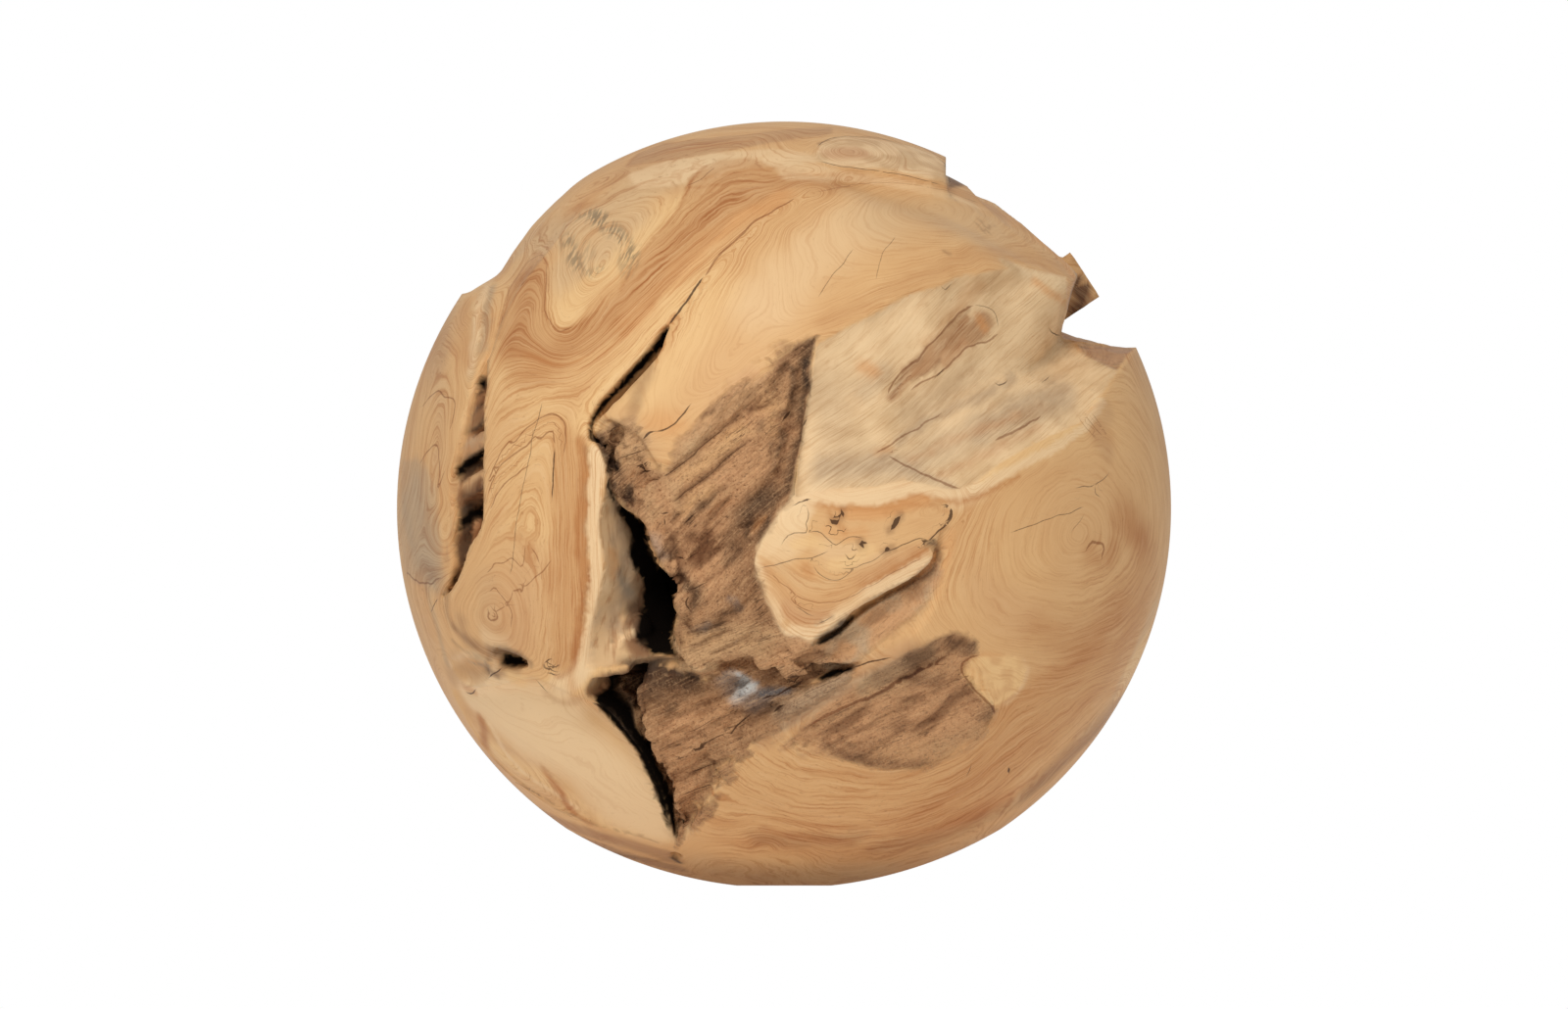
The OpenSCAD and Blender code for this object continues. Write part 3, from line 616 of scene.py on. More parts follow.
# ---------------------------------------------------------------- lines on the wood
# Dark checks and cracks: half width in millimetres, and points along each.
CHECKS = drawn(
    (0.8, [(717, 283), (709, 295), (702, 305), (692, 318), (682, 332)]),
    (0.28, [(554, 411), (546, 440), (533, 500), (528, 530), (523, 570), (521, 588)]),
    (0.55, [(566, 456), (565, 480), (564, 511)]),
    (0.25, [(871, 254), (852, 279), (836, 303)]),
    (0.2, [(913, 241), (899, 261), (893, 286)]),
    (0.5, [(706, 412), (698, 421), (686, 434), (678, 438), (668, 440)]),
    (0.9, [(668, 440), (662, 443), (656, 450)]),
    (0.4, [(630, 467), (645, 464), (659, 459)]),
    (0.6, [(649, 476), (655, 475), (661, 471)]),
    (0.6, [(652, 483), (658, 481), (665, 480)]),
    (0.9, [(677, 484), (684, 482)]),
    (0.8, [(675, 524), (681, 523)]),
    (0.5, [(678, 530), (679, 537)]),
    (0.5, [(698, 537), (704, 529), (712, 523)]),
    (0.4, [(697, 600), (706, 602), (714, 598), (722, 594)]),
    (0.7, [(690, 569), (696, 570)]),
    (0.35, [(698, 573), (705, 568), (713, 563)]),
    (0.5, [(706, 624), (700, 616), (704, 608)]),
    (0.4, [(768, 617), (775, 613), (782, 611)]),
    (0.4, [(770, 626), (776, 620), (782, 614)]),
    (0.35, [(774, 631), (779, 627), (784, 622)]),
    (0.7, [(777, 714), (783, 712), (790, 710)]),
    (0.8, [(790, 727), (796, 722), (802, 719)]),
    (0.9, [(806, 704), (812, 700), (820, 695)]),
    (0.8, [(804, 692), (810, 691), (817, 689)]),
    (0.9, [(800, 430), (806, 420)]),
    (0.5, [(818, 436), (824, 426)]),
    (0.3, [(1031, 544), (1052, 536), (1069, 531), (1084, 525), (1106, 519)]),
    (0.2, [(1107, 525), (1092, 545)]),
    (0.3, [(1098, 499), (1118, 494), (1132, 481)]),
    (0.3, [(1118, 495), (1118, 503), (1123, 507)]),
    (0.3, [(776, 580), (800, 574), (811, 571), (830, 570), (846, 562)]),
    (0.3, [(802, 546), (811, 543), (823, 542), (822, 533), (826, 526), (824, 516)]),
    (0.25, [(796, 557), (801, 549), (809, 543)]),
    (0.3, [(823, 542), (838, 543), (846, 550), (853, 556), (864, 549), (872, 548), (882, 550)]),
    (0.25, [(830, 577), (836, 585), (844, 590), (852, 592), (862, 589), (876, 577), (891, 572),
        (903, 563)]),
    (0.25, [(858, 579), (868, 580), (877, 577)]),
    (0.35, [(903, 563), (912, 560), (924, 555), (938, 550), (945, 551)]),
    (0.5, [(944, 556), (952, 547), (964, 538), (971, 530), (972, 522), (966, 516), (960, 516)]),
    (0.3, [(811, 618), (824, 626), (831, 629)]),
    (0.3, [(832, 638), (842, 634), (851, 630)]),
    (0.4, [(810, 516), (817, 512), (825, 509)]),
    (0.4, [(706, 766), (712, 760), (724, 757), (741, 748)]),
    (0.9, [(706, 767), (714, 764), (722, 759)]),
    (0.3, [(700, 748), (716, 742), (730, 732)]),
    (0.4, [(702, 789), (716, 784), (732, 779)]),
    (0.4, [(696, 812), (712, 805), (731, 801)]),
    (0.5, [(740, 754), (752, 742), (768, 727)]),
    (0.6, [(790, 712), (806, 702), (822, 694)]),
    (0.5, [(868, 683), (890, 676), (910, 671)]),
    (0.35, [(546, 693), (552, 700), (560, 708)]),
    (0.45, [(555, 676), (559, 674), (562, 672)]),
    (0.4, [(560, 684), (566, 682), (571, 677)]),
    (0.4, [(561, 688), (568, 690), (571, 688)]),
    (0.5, [(475, 706), (480, 708), (486, 704)]),
    (0.5, [(498, 692), (505, 687), (512, 682)]),
    (0.35, [(440, 626), (444, 616), (447, 611)]),
    (0.4, [(834, 164), (850, 168), (881, 173), (912, 177), (940, 183), (962, 189)]),
    (0.35, [(834, 150), (846, 142), (864, 139), (890, 141), (915, 145), (940, 153), (956, 160)]),
    (0.35, [(956, 160), (966, 170), (969, 188)]),
    (0.3, [(986, 792), (990, 786), (991, 780)]),
    (0.3, [(960, 291), (964, 296), (972, 290)]),
    (0.5, [(1069, 333), (1075, 340), (1082, 343)]),
    (0.4, [(1015, 390), (1020, 394), (1028, 387)]),
    (0.4, [(954, 386), (960, 380), (966, 374)]),
    (0.3, [(994, 311), (1006, 313), (1016, 320), (1019, 336)]),
    (0.3, [(1063, 391), (1068, 387), (1072, 384)]),
    (1.7, [(909, 540), (913, 534), (919, 527)]),
    (1.8, [(904, 562), (909, 559)]),
    (1.2, [(848, 530), (853, 534), (857, 530)]),
    (1.0, [(859, 520), (861, 527)]),
    (1.2, [(878, 553), (881, 559)]),
    (0.4, [(862, 565), (867, 571), (873, 566)]),
    (1.0, [(941, 551), (945, 556)]),
    (1.0, [(969, 519), (971, 526), (966, 532)]),
    (0.7, [(823, 509), (826, 509)]),
    (0.8, [(1029, 784), (1029, 790)]),
    (0.35, [(678, 485), (694, 475), (710, 461), (728, 447), (740, 438)]),
    (0.3, [(686, 512), (704, 500), (724, 484), (744, 466), (764, 451)]),
    (0.4, [(526, 799), (540, 806), (555, 815)]),
    (0.3, [(562, 824), (576, 830), (590, 838)]),
    (0.5, [(556, 676), (560, 674), (564, 673)]),
    (0.4, [(553, 682), (558, 680), (568, 681), (572, 678)]),
    (0.4, [(556, 686), (564, 687), (570, 691)]),
    (0.4, [(506, 818), (512, 822)]),
)
# Furrows along the weathered grain, cut as deep as their half width: that in millimetres, and points.
FURROWS = drawn(
    (2.0, [(676, 486), (690, 477), (706, 463), (722, 450), (740, 436), (762, 419), (780, 400)]),
    (1.8, [(688, 512), (704, 500), (720, 486), (738, 470), (754, 457), (768, 447)]),
    (1.7, [(692, 541), (704, 529), (718, 518), (730, 505), (744, 494)]),
    (1.5, [(716, 543), (724, 531), (734, 520), (748, 506)]),
    (1.4, [(700, 574), (716, 562), (736, 548), (752, 538)]),
    (1.5, [(716, 596), (732, 586), (748, 570), (760, 552)]),
    (1.7, [(732, 635), (738, 627), (750, 625), (760, 616)]),
    (2.0, [(700, 648), (714, 644), (730, 639), (748, 632)]),
    (1.2, [(700, 665), (716, 657), (734, 647), (752, 641)]),
    (1.2, [(724, 668), (744, 660), (768, 653), (790, 650)]),
    (1.6, [(782, 404), (796, 388), (806, 366)]),
    (2.0, [(816, 372), (812, 400), (806, 430), (800, 462), (792, 492)]),
    (2.2, [(608, 448), (617, 461), (624, 470), (632, 484)]),
    (2.4, [(644, 496), (643, 508), (646, 518)]),
    (2.0, [(682, 545), (688, 552), (682, 566)]),
    (2.0, [(693, 586), (702, 596), (708, 607), (705, 622)]),
    (1.8, [(668, 744), (700, 728), (728, 716), (752, 704)]),
    (1.8, [(676, 764), (704, 752), (730, 738), (760, 724)]),
    (1.6, [(690, 800), (712, 786), (734, 780)]),
    (1.6, [(692, 824), (706, 811), (726, 801)]),
    (1.3, [(820, 745), (856, 728), (900, 706), (950, 676)]),
    (1.3, [(840, 764), (880, 744), (930, 718), (984, 690)]),
    (1.3, [(868, 776), (912, 756), (960, 730), (1004, 712)]),
)
# Brown growth lines that stand out from the rest: half width in millimetres, and points.
VEINS = drawn(
    (0.25, [(509, 340), (513, 318), (522, 292), (535, 272), (548, 261), (557, 266), (558, 285), (556, 310),
        (561, 329), (572, 338), (586, 334)]),
    (0.5, [(700, 190), (716, 182), (732, 170)]),
    (0.8, [(718, 282), (736, 260), (757, 240), (772, 224), (790, 214), (812, 203)]),
    (0.6, [(498, 492), (505, 474), (511, 462), (521, 449), (524, 451), (542, 434), (557, 424), (568, 424),
        (576, 432), (578, 444), (576, 462)]),
    (0.6, [(498, 505), (509, 478), (526, 463), (539, 455), (548, 447), (551, 450), (559, 443), (565, 441),
        (567, 454)]),
    (0.5, [(500, 520), (512, 498), (526, 484), (541, 474)]),
    (0.6, [(431, 414), (440, 404), (448, 399), (452, 404), (461, 408), (463, 418), (459, 440)]),
    (0.6, [(429, 472), (435, 462), (445, 455), (448, 466), (449, 482), (446, 500)]),
    (0.5, [(446, 505), (450, 492), (455, 480)]),
    (0.4, [(501, 626), (513, 621), (522, 612), (525, 604), (535, 600), (553, 584), (562, 572)]),
    (0.4, [(496, 586), (503, 579), (504, 575), (513, 573), (522, 569), (532, 577), (535, 570), (536, 556)]),
    (0.4, [(541, 558), (547, 568), (552, 580)]),
    (0.4, [(499, 604), (506, 600), (514, 610), (523, 625), (522, 642)]),
    (0.6, [(497, 620), (498, 632), (508, 630), (500, 618)]),
    (0.5, [(524, 604), (532, 605), (534, 598), (529, 597)]),
    (0.7, [(415, 585), (426, 594), (438, 596), (450, 590)]),
    (0.25, [(830, 196), (870, 189), (915, 187), (962, 194), (1000, 208)]),
    (0.3, [(789, 592), (806, 604), (826, 612), (850, 614), (880, 602), (912, 584), (940, 570)]),
    (0.4, [(804, 609), (812, 616), (820, 621), (830, 624)]),
    (0.25, [(786, 584), (796, 597), (812, 606)]),
    (0.3, [(1100, 424), (1108, 436), (1120, 450)]),
    (0.3, [(1105, 420), (1114, 434), (1126, 448)]),
    (0.3, [(1112, 420), (1120, 432), (1131, 446)]),
    (0.7, [(905, 402), (915, 385), (935, 368), (960, 340), (980, 318), (994, 312)]),
    (0.7, [(928, 400), (945, 390), (965, 376), (985, 356), (1010, 348), (1018, 342)]),
    (0.6, [(895, 462), (915, 450), (945, 432), (960, 420)]),
    (0.8, [(905, 466), (930, 478), (955, 490), (980, 498)]),
    (0.9, [(1015, 452), (1040, 438), (1062, 424)]),
    (0.8, [(984, 691), (981, 680), (990, 672), (1000, 668)]),
    (0.9, [(983, 690), (994, 704), (1008, 720), (1016, 728)]),
    (1.2, [(960, 672), (930, 690), (890, 710), (850, 727), (826, 740)]),
    (0.6, [(905, 700), (940, 682), (970, 668)]),
    (1.0, [(1108, 563), (1116, 553), (1126, 558), (1124, 572)]),
)


# Lines taper over so many millimetres at their ends, or over this share of a short one; NO_LINE is the
# distance stored where none is near
TAPER = 4.0
TAPER_SHARE = 0.35
NO_LINE = 50.0


def line_field(lines, s, reach=5.0):
    """For each point, the signed distance to the nearest line and that line's half width there."""
    distance = np.full(len(s), NO_LINE)
    best = np.full(len(s), 1e9)
    width = np.zeros(len(s))
    for half, points in lines:
        c = lift(curve(points, 5))
        lo, hi = c.min(0) - reach, c.max(0) + reach
        near = np.flatnonzero(((s > lo) & (s < hi)).all(axis=1))
        if not len(near):
            continue
        q = s[near]
        steps = np.linalg.norm(np.diff(c, axis=0), axis=1)
        run = np.concatenate([[0], np.cumsum(steps)])
        here = np.full(len(q), 1e9)
        signed = np.zeros(len(q))
        taper = np.zeros(len(q))
        for k in range(len(c) - 1):
            e = c[k + 1] - c[k]
            length = max(np.linalg.norm(e), 1e-6)
            raw = ((q - c[k]) @ e) / length ** 2
            t = np.clip(raw, 0, 1)
            gap = q - c[k] - t[:, None] * e
            far = np.linalg.norm(gap, axis=1)
            side = np.cross(e / length, (c[k] + c[k + 1]) / 2 / BALL_R)
            closer = far < here
            here = np.where(closer, far, here)
            signed = np.where(closer, (q - c[k]) @ side, signed)
            at = run[k] + np.clip(raw, -2, 3) * length
            ends = np.minimum(at, run[-1] - at)
            taper = np.where(closer, smooth(-0.8, min(TAPER, TAPER_SHARE * run[-1]), ends), taper)
        use = (here < reach) & (here < best[near])
        chosen = near[use]
        best[chosen] = here[use]
        distance[chosen] = signed[use]
        width[chosen] = half * taper[use]
    return distance, width


# ---------------------------------------------------------------- colours of the wood

def tone(r, g, b):
    """A colour as linear light."""
    c = np.array([r, g, b]) / 255
    return np.where(c <= 0.04045, c / 12.92, ((c + 0.055) / 1.055) ** 2.4)


HONEY = tone(222, 176, 122)
SAPWOOD = tone(236, 195, 138)
CREAM = tone(238, 204, 158)
STRAW = tone(214, 178, 133)
RED = tone(198, 146, 96)
RUST = tone(192, 130, 76)
ORANGE = tone(216, 150, 90)
TAN = tone(205, 163, 118)
CLAY = tone(186, 141, 100)
SALLOW = tone(180, 156, 120)
GREY_TAN = tone(186, 158, 126)
GREY = tone(150, 136, 118)
TAWNY = tone(178, 112, 58)
FAWN = tone(202, 152, 108)
UMBER = tone(140, 100, 68)
# Dark brown: bark and dark spots of the weathered wood, and painted shade under edges and on the openings'
# walls.
BARK_AND_SHADE = tone(104, 76, 54)
# Near-black brown: painted shade in gaps, holes, crevices and under edges, and a few dark stains.
SHADE_AND_STAIN = tone(58, 46, 38)
ASH = tone(168, 160, 152)
FROST = tone(205, 205, 200)
SLATE = tone(108, 106, 106)

# Colour strokes: tone, strength, half width and soft edge in millimetres, points.
STROKES = drawn(
    (STRAW, 0.8, 16, 12, [(560, 240), (610, 220), (660, 190), (720, 168)]),
    (STRAW, 0.8, 18, 10, [(590, 270), (612, 262), (640, 238)]),
    (SAPWOOD, 0.75, 9, 7, [(578, 318), (596, 296), (640, 262), (690, 212)]),
    (RED, 0.75, 8, 6, [(540, 280), (535, 305), (530, 330), (528, 350)]),
    (RED, 0.5, 12, 8, [(520, 350), (545, 372), (570, 362)]),
    (RED, 0.7, 7, 6, [(578, 350), (620, 318), (670, 270), (712, 228), (760, 196), (820, 182), (870, 180)]),
    (ORANGE, 0.5, 5, 6, [(640, 330), (690, 280), (740, 232), (800, 200)]),
    (SAPWOOD, 0.7, 6, 6, [(592, 440), (610, 408), (640, 372), (672, 330), (694, 300)]),
    (SAPWOOD, 0.6, 12, 10, [(660, 400), (700, 350), (730, 300)]),
    (CREAM, 0.5, 16, 12, [(780, 310), (830, 260), (880, 225)]),
    (STRAW, 0.6, 16, 14, [(900, 225), (950, 220), (1010, 235)]),
    (RED, 0.45, 4, 5, [(840, 330), (900, 300), (955, 280), (1000, 258), (1050, 262), (1085, 274)]),
    (RED, 0.5, 4, 5, [(830, 196), (880, 186), (940, 186), (1000, 206), (1050, 236)]),
    (ORANGE, 0.5, 3.5, 4, [(1060, 246), (1080, 262), (1096, 282)]),
    (RED, 0.55, 6, 5, [(650, 165), (700, 152), (760, 146), (810, 140)]),
    (CREAM, 0.5, 5, 5, [(700, 172), (760, 166), (820, 160)]),
    # Painted light: the ledge's face made paler.
    (CREAM, 0.7, 6, 4, [(900, 152), (930, 160), (955, 172)]),
    (TAN, 0.6, 7, 5, [(848, 155), (880, 157)]),
    (STRAW, 0.5, 4, 4, [(800, 168), (836, 160)]),
    (TAN, 0.5, 9, 9, [(448, 360), (450, 420), (446, 480)]),
    (STRAW, 0.6, 4, 3, [(487, 305), (484, 340), (480, 380)]),
    (GREY, 0.5, 4, 4, [(500, 296), (496, 330), (494, 356)]),
    (GREY_TAN, 0.85, 12, 10, [(424, 500), (432, 540), (440, 575)]),
    (GREY, 0.5, 8, 8, [(414, 520), (424, 565), (440, 588)]),
    (CLAY, 0.5, 1.5, 1.5, [(486, 385), (474, 430), (462, 480), (462, 520), (456, 570)]),
    (TAWNY, 0.35, 8, 5, [(580, 450), (578, 520), (576, 600), (572, 670)]),
    (TAWNY, 0.7, 3, 2, [(596, 450), (595, 500), (593, 545), (596, 590), (592, 640), (586, 670)]),
    (UMBER, 0.4, 1.2, 1.2, [(600, 456), (600, 500), (598, 545), (600, 590), (596, 640)]),
    (STRAW, 0.6, 2, 2, [(612, 474), (611, 520), (612, 570), (609, 620)]),
    (CREAM, 0.7, 4, 2.5, [(494, 296), (488, 320), (484, 350), (480, 372)]),
    (RUST, 0.35, 6, 5, [(474, 310), (472, 340), (476, 366)]),
    (SAPWOOD, 0.4, 14, 12, [(530, 480), (535, 540), (540, 600)]),
    (TAN, 0.5, 10, 8, [(498, 600), (500, 640), (515, 665)]),
    (UMBER, 0.35, 5, 5, [(472, 640), (484, 668), (498, 688)]),
    (CREAM, 0.5, 6, 5, [(500, 655), (515, 662)]),
    (SAPWOOD, 0.6, 8, 6, [(560, 705), (600, 695), (612, 670)]),
    (CREAM, 0.85, 16, 8, [(500, 720), (560, 750), (620, 790), (665, 840)]),
    (CREAM, 0.85, 10, 6, [(480, 712), (530, 710), (580, 725)]),
    (TAWNY, 0.55, 2.5, 2, [(492, 734), (494, 748), (492, 760)]),
    (SAPWOOD, 0.8, 8, 3, [(508, 768), (540, 788), (572, 808), (604, 832), (640, 846)]),
    (ORANGE, 0.7, 2, 2, [(558, 790), (568, 804), (576, 816), (586, 830)]),
    (TAWNY, 0.5, 1, 1, [(562, 800), (570, 812), (578, 822)]),
    (FAWN, 0.6, 1.2, 1.5, [(505, 752), (530, 770), (560, 788), (590, 822), (606, 838), (640, 846)]),
    (STRAW, 0.5, 2.5, 2, [(594, 720), (622, 738), (650, 775), (668, 812), (682, 852)]),
    # Darker strip along the lower-left limb: browner wood of a facet, and painted shade of the limb.
    (CLAY, 0.9, 6, 2, [(484, 774), (520, 808), (556, 834), (600, 858), (650, 876), (690, 886)]),
    (CLAY, 0.8, 4, 1.5, [(600, 846), (640, 862), (680, 870)]),
    (UMBER, 0.5, 2, 2, [(654, 876), (672, 878), (686, 874)]),
    (FAWN, 0.4, 6, 5, [(520, 730), (534, 738)]),
    (UMBER, 0.5, 3, 3, [(664, 376), (650, 400), (646, 430)]),
    (TAN, 0.6, 10, 8, [(640, 440), (652, 460)]),
    (ORANGE, 0.4, 6, 6, [(670, 430), (690, 434)]),
    (FAWN, 0.6, 5, 5, [(694, 466), (716, 444), (740, 414), (764, 386)]),
    (CREAM, 0.85, 6, 5, [(814, 508), (850, 504), (900, 500), (938, 500), (976, 506), (1010, 488)]),
    (SAPWOOD, 0.8, 5, 4, [(1010, 488), (1050, 466), (1096, 438), (1118, 412)]),
    (FAWN, 0.6, 8, 5, [(845, 522), (880, 530), (920, 524), (950, 526)]),
    (FAWN, 0.55, 8, 5, [(790, 592), (815, 614), (845, 616), (885, 596), (930, 572)]),
    (RUST, 0.5, 3, 2.5, [(786, 589), (802, 602), (826, 615), (856, 611), (890, 593), (925, 576),
        (940, 565)]),
    (FAWN, 0.6, 5, 4, [(800, 612), (814, 630), (836, 634), (850, 624)]),
    (CREAM, 0.9, 3.2, 1.6, [(822, 512), (800, 518), (788, 532), (776, 552), (772, 572), (778, 594),
        (790, 620), (799, 645), (812, 653), (832, 651), (862, 629), (900, 609), (946, 575)]),
    (CREAM, 0.6, 9, 5, [(806, 528), (800, 556)]),
    (CREAM, 0.4, 8, 6, [(850, 558), (880, 558), (900, 550)]),
    (ORANGE, 0.35, 3, 3, [(822, 580), (828, 586)]),
    (TAN, 0.15, 30, 20, [(1110, 500), (1120, 560), (1090, 640)]),
    (TAWNY, 0.35, 6, 6, [(1112, 566), (1124, 576), (1136, 566)]),
    (TAWNY, 0.3, 3, 3, [(1134, 552), (1134, 574)]),
    (TAWNY, 0.35, 12, 10, [(1146, 526), (1160, 540), (1166, 552)]),
    (TAWNY, 0.4, 5, 5, [(1158, 544), (1168, 550)]),
    (TAWNY, 0.3, 8, 8, [(1150, 534), (1172, 556)]),
    (RUST, 0.4, 6, 6, [(1104, 420), (1118, 440), (1130, 450)]),
    (RUST, 0.45, 8, 8, [(1020, 730), (1060, 700), (1120, 660)]),
    (HONEY, 0.7, 10, 8, [(740, 780), (800, 800), (880, 812), (950, 800), (1010, 760)]),
    (RUST, 0.3, 9, 8, [(770, 862), (820, 866), (880, 872), (960, 850), (1040, 806), (1110, 750)]),
    (UMBER, 0.3, 8, 7, [(900, 864), (970, 852), (1050, 810), (1120, 746)]),
    # Painted shade: the lower-right limb made darker.
    (UMBER, 0.4, 12, 10, [(1060, 800), (1110, 750), (1140, 720)]),
    (UMBER, 0.35, 6, 6, [(776, 856), (830, 858), (872, 856)]),
    # Painted shade along the lower-right limb, in a wood-like brown.
    (TAWNY, 0.4, 26, 20, [(1160, 620), (1110, 700), (1040, 764), (960, 830)]),
    (TAWNY, 0.35, 10, 10, [(1060, 640), (1100, 650), (1140, 620)]),
    (STRAW, 0.6, 7, 4, [(1178, 622), (1160, 664), (1142, 704)]),
    (CLAY, 0.5, 14, 12, [(452, 330), (446, 370)]),
    (CLAY, 0.35, 14, 12, [(640, 178), (670, 168)]),
    (RUST, 0.35, 8, 8, [(530, 380), (560, 372)]),
    (FAWN, 0.5, 16, 14, [(535, 590), (530, 640)]),
    (FAWN, 0.3, 12, 10, [(1000, 600), (1040, 630)]),
    (RUST, 0.3, 6, 6, [(478, 728), (492, 740)]),
    (CREAM, 0.5, 14, 12, [(640, 810), (660, 840)]),
)
# Zones with a clear edge: tone, strength, softness of the edge in millimetres, outline.
ZONES = drawn(
    (RED, 0.55, 0.6, [(505, 345), (509, 330), (513, 318), (522, 292), (535, 272), (546, 258), (557, 265),
        (558, 285), (556, 310), (561, 329), (572, 338), (586, 335), (600, 325), (634, 296), (659, 253),
        (692, 214), (701, 190), (713, 175), (735, 164), (764, 162), (789, 166), (830, 177), (870, 181),
        (830, 186), (790, 196), (750, 222), (712, 262), (676, 300), (640, 340), (600, 362), (560, 366),
        (530, 360)]),
    (CLAY, 0.6, 0.6, [(639, 170), (645, 162), (652, 156), (677, 147), (706, 143), (760, 137), (820, 131),
        (850, 130), (850, 137), (803, 143), (760, 151), (706, 160), (663, 166)]),
    (CREAM, 0.5, 0.7, [(776, 164), (784, 154), (800, 152), (826, 158), (836, 166), (806, 171), (784, 169)]),
    (CREAM, 0.6, 0.8, [(640, 178), (680, 164), (740, 156), (790, 152), (776, 160), (735, 162), (713, 173),
        (700, 186), (680, 190), (650, 192)]),
    (CREAM, 0.85, 0.6, [(828, 508), (850, 501), (880, 500), (905, 497), (925, 491), (940, 488), (955, 493),
        (975, 500), (1000, 492), (1020, 480), (1050, 466), (1080, 450), (1100, 436), (1118, 412),
        (1124, 404), (1130, 410), (1112, 438), (1080, 460), (1040, 482), (1010, 498), (985, 508),
        (965, 507), (940, 503), (922, 508), (897, 517), (860, 516), (826, 513)]),
    (HONEY, 0.8, 0.6, [(826, 513), (860, 516), (897, 517), (922, 509), (940, 505), (965, 510), (971, 524),
        (958, 542), (944, 551), (924, 556), (905, 562), (884, 566), (872, 556), (853, 556), (846, 548),
        (838, 543), (823, 542), (830, 524)]),
    (CREAM, 0.5, 0.8, [(790, 530), (806, 516), (822, 513), (830, 524), (822, 541), (808, 544), (798, 555),
        (780, 572), (776, 560)]),
    (CREAM, 0.5, 0.8, [(790, 171), (832, 168), (881, 178), (912, 182), (955, 191), (985, 203), (1008, 214),
        (990, 210), (950, 199), (900, 189), (850, 184), (800, 184)]),
    (CREAM, 0.85, 0.6, [(828, 654), (812, 653), (800, 645), (806, 636), (826, 640), (846, 628), (856, 616),
        (880, 600), (910, 586), (940, 568), (950, 562), (951, 570), (938, 583), (898, 607), (866, 626),
        (854, 640)]),
    (CREAM, 0.85, 0.5, [(603, 452), (614, 460), (618, 478), (615, 500), (612, 540), (615, 575), (612, 620),
        (606, 660), (597, 692), (587, 690), (594, 655), (600, 620), (602, 575), (598, 545), (601, 500),
        (601, 460)]),
    (GREY_TAN, 0.5, 2.0, [(411, 470), (430, 470), (446, 500), (450, 560), (452, 590), (440, 598),
        (425, 596), (414, 586), (406, 540)]),
    (SAPWOOD, 0.6, 0.6, [(1178, 634), (1182, 640), (1164, 676), (1144, 710), (1137, 716), (1150, 680),
        (1168, 648)]),
)
# Wood that shows inside the openings, where their painted shade is taken back, and stretches where the
# edges of zones fade out softly:
# strength, half width and soft edge in millimetres, points.
IN_OPENINGS = drawn(
    (1.0, 6.5, 1.5, [(472, 432), (494, 410)]),
    (1.0, 4.5, 1.2, [(468, 462), (495, 444)]),
    (1.0, 6.5, 1.5, [(460, 514), (476, 502), (495, 490)]),
    (1.0, 3, 1.2, [(488, 534), (486, 556), (480, 580)]),
    (0.85, 4.5, 3, [(468, 552), (466, 574)]),
    (0.9, 9, 5, [(650, 704), (666, 694), (690, 690), (706, 692)]),
)
SOFT_EDGES = drawn(
    (1.0, 8, 8, [(700, 452), (751, 398), (796, 362)]),
    (0.6, 6, 5, [(640, 426), (656, 449), (661, 468)]),
    (0.5, 8, 6, [(800, 757), (830, 764)]),
    (0.4, 6, 5, [(940, 786), (990, 762)]),
    (0.7, 8, 6, [(755, 770), (722, 818), (704, 845)]),
)
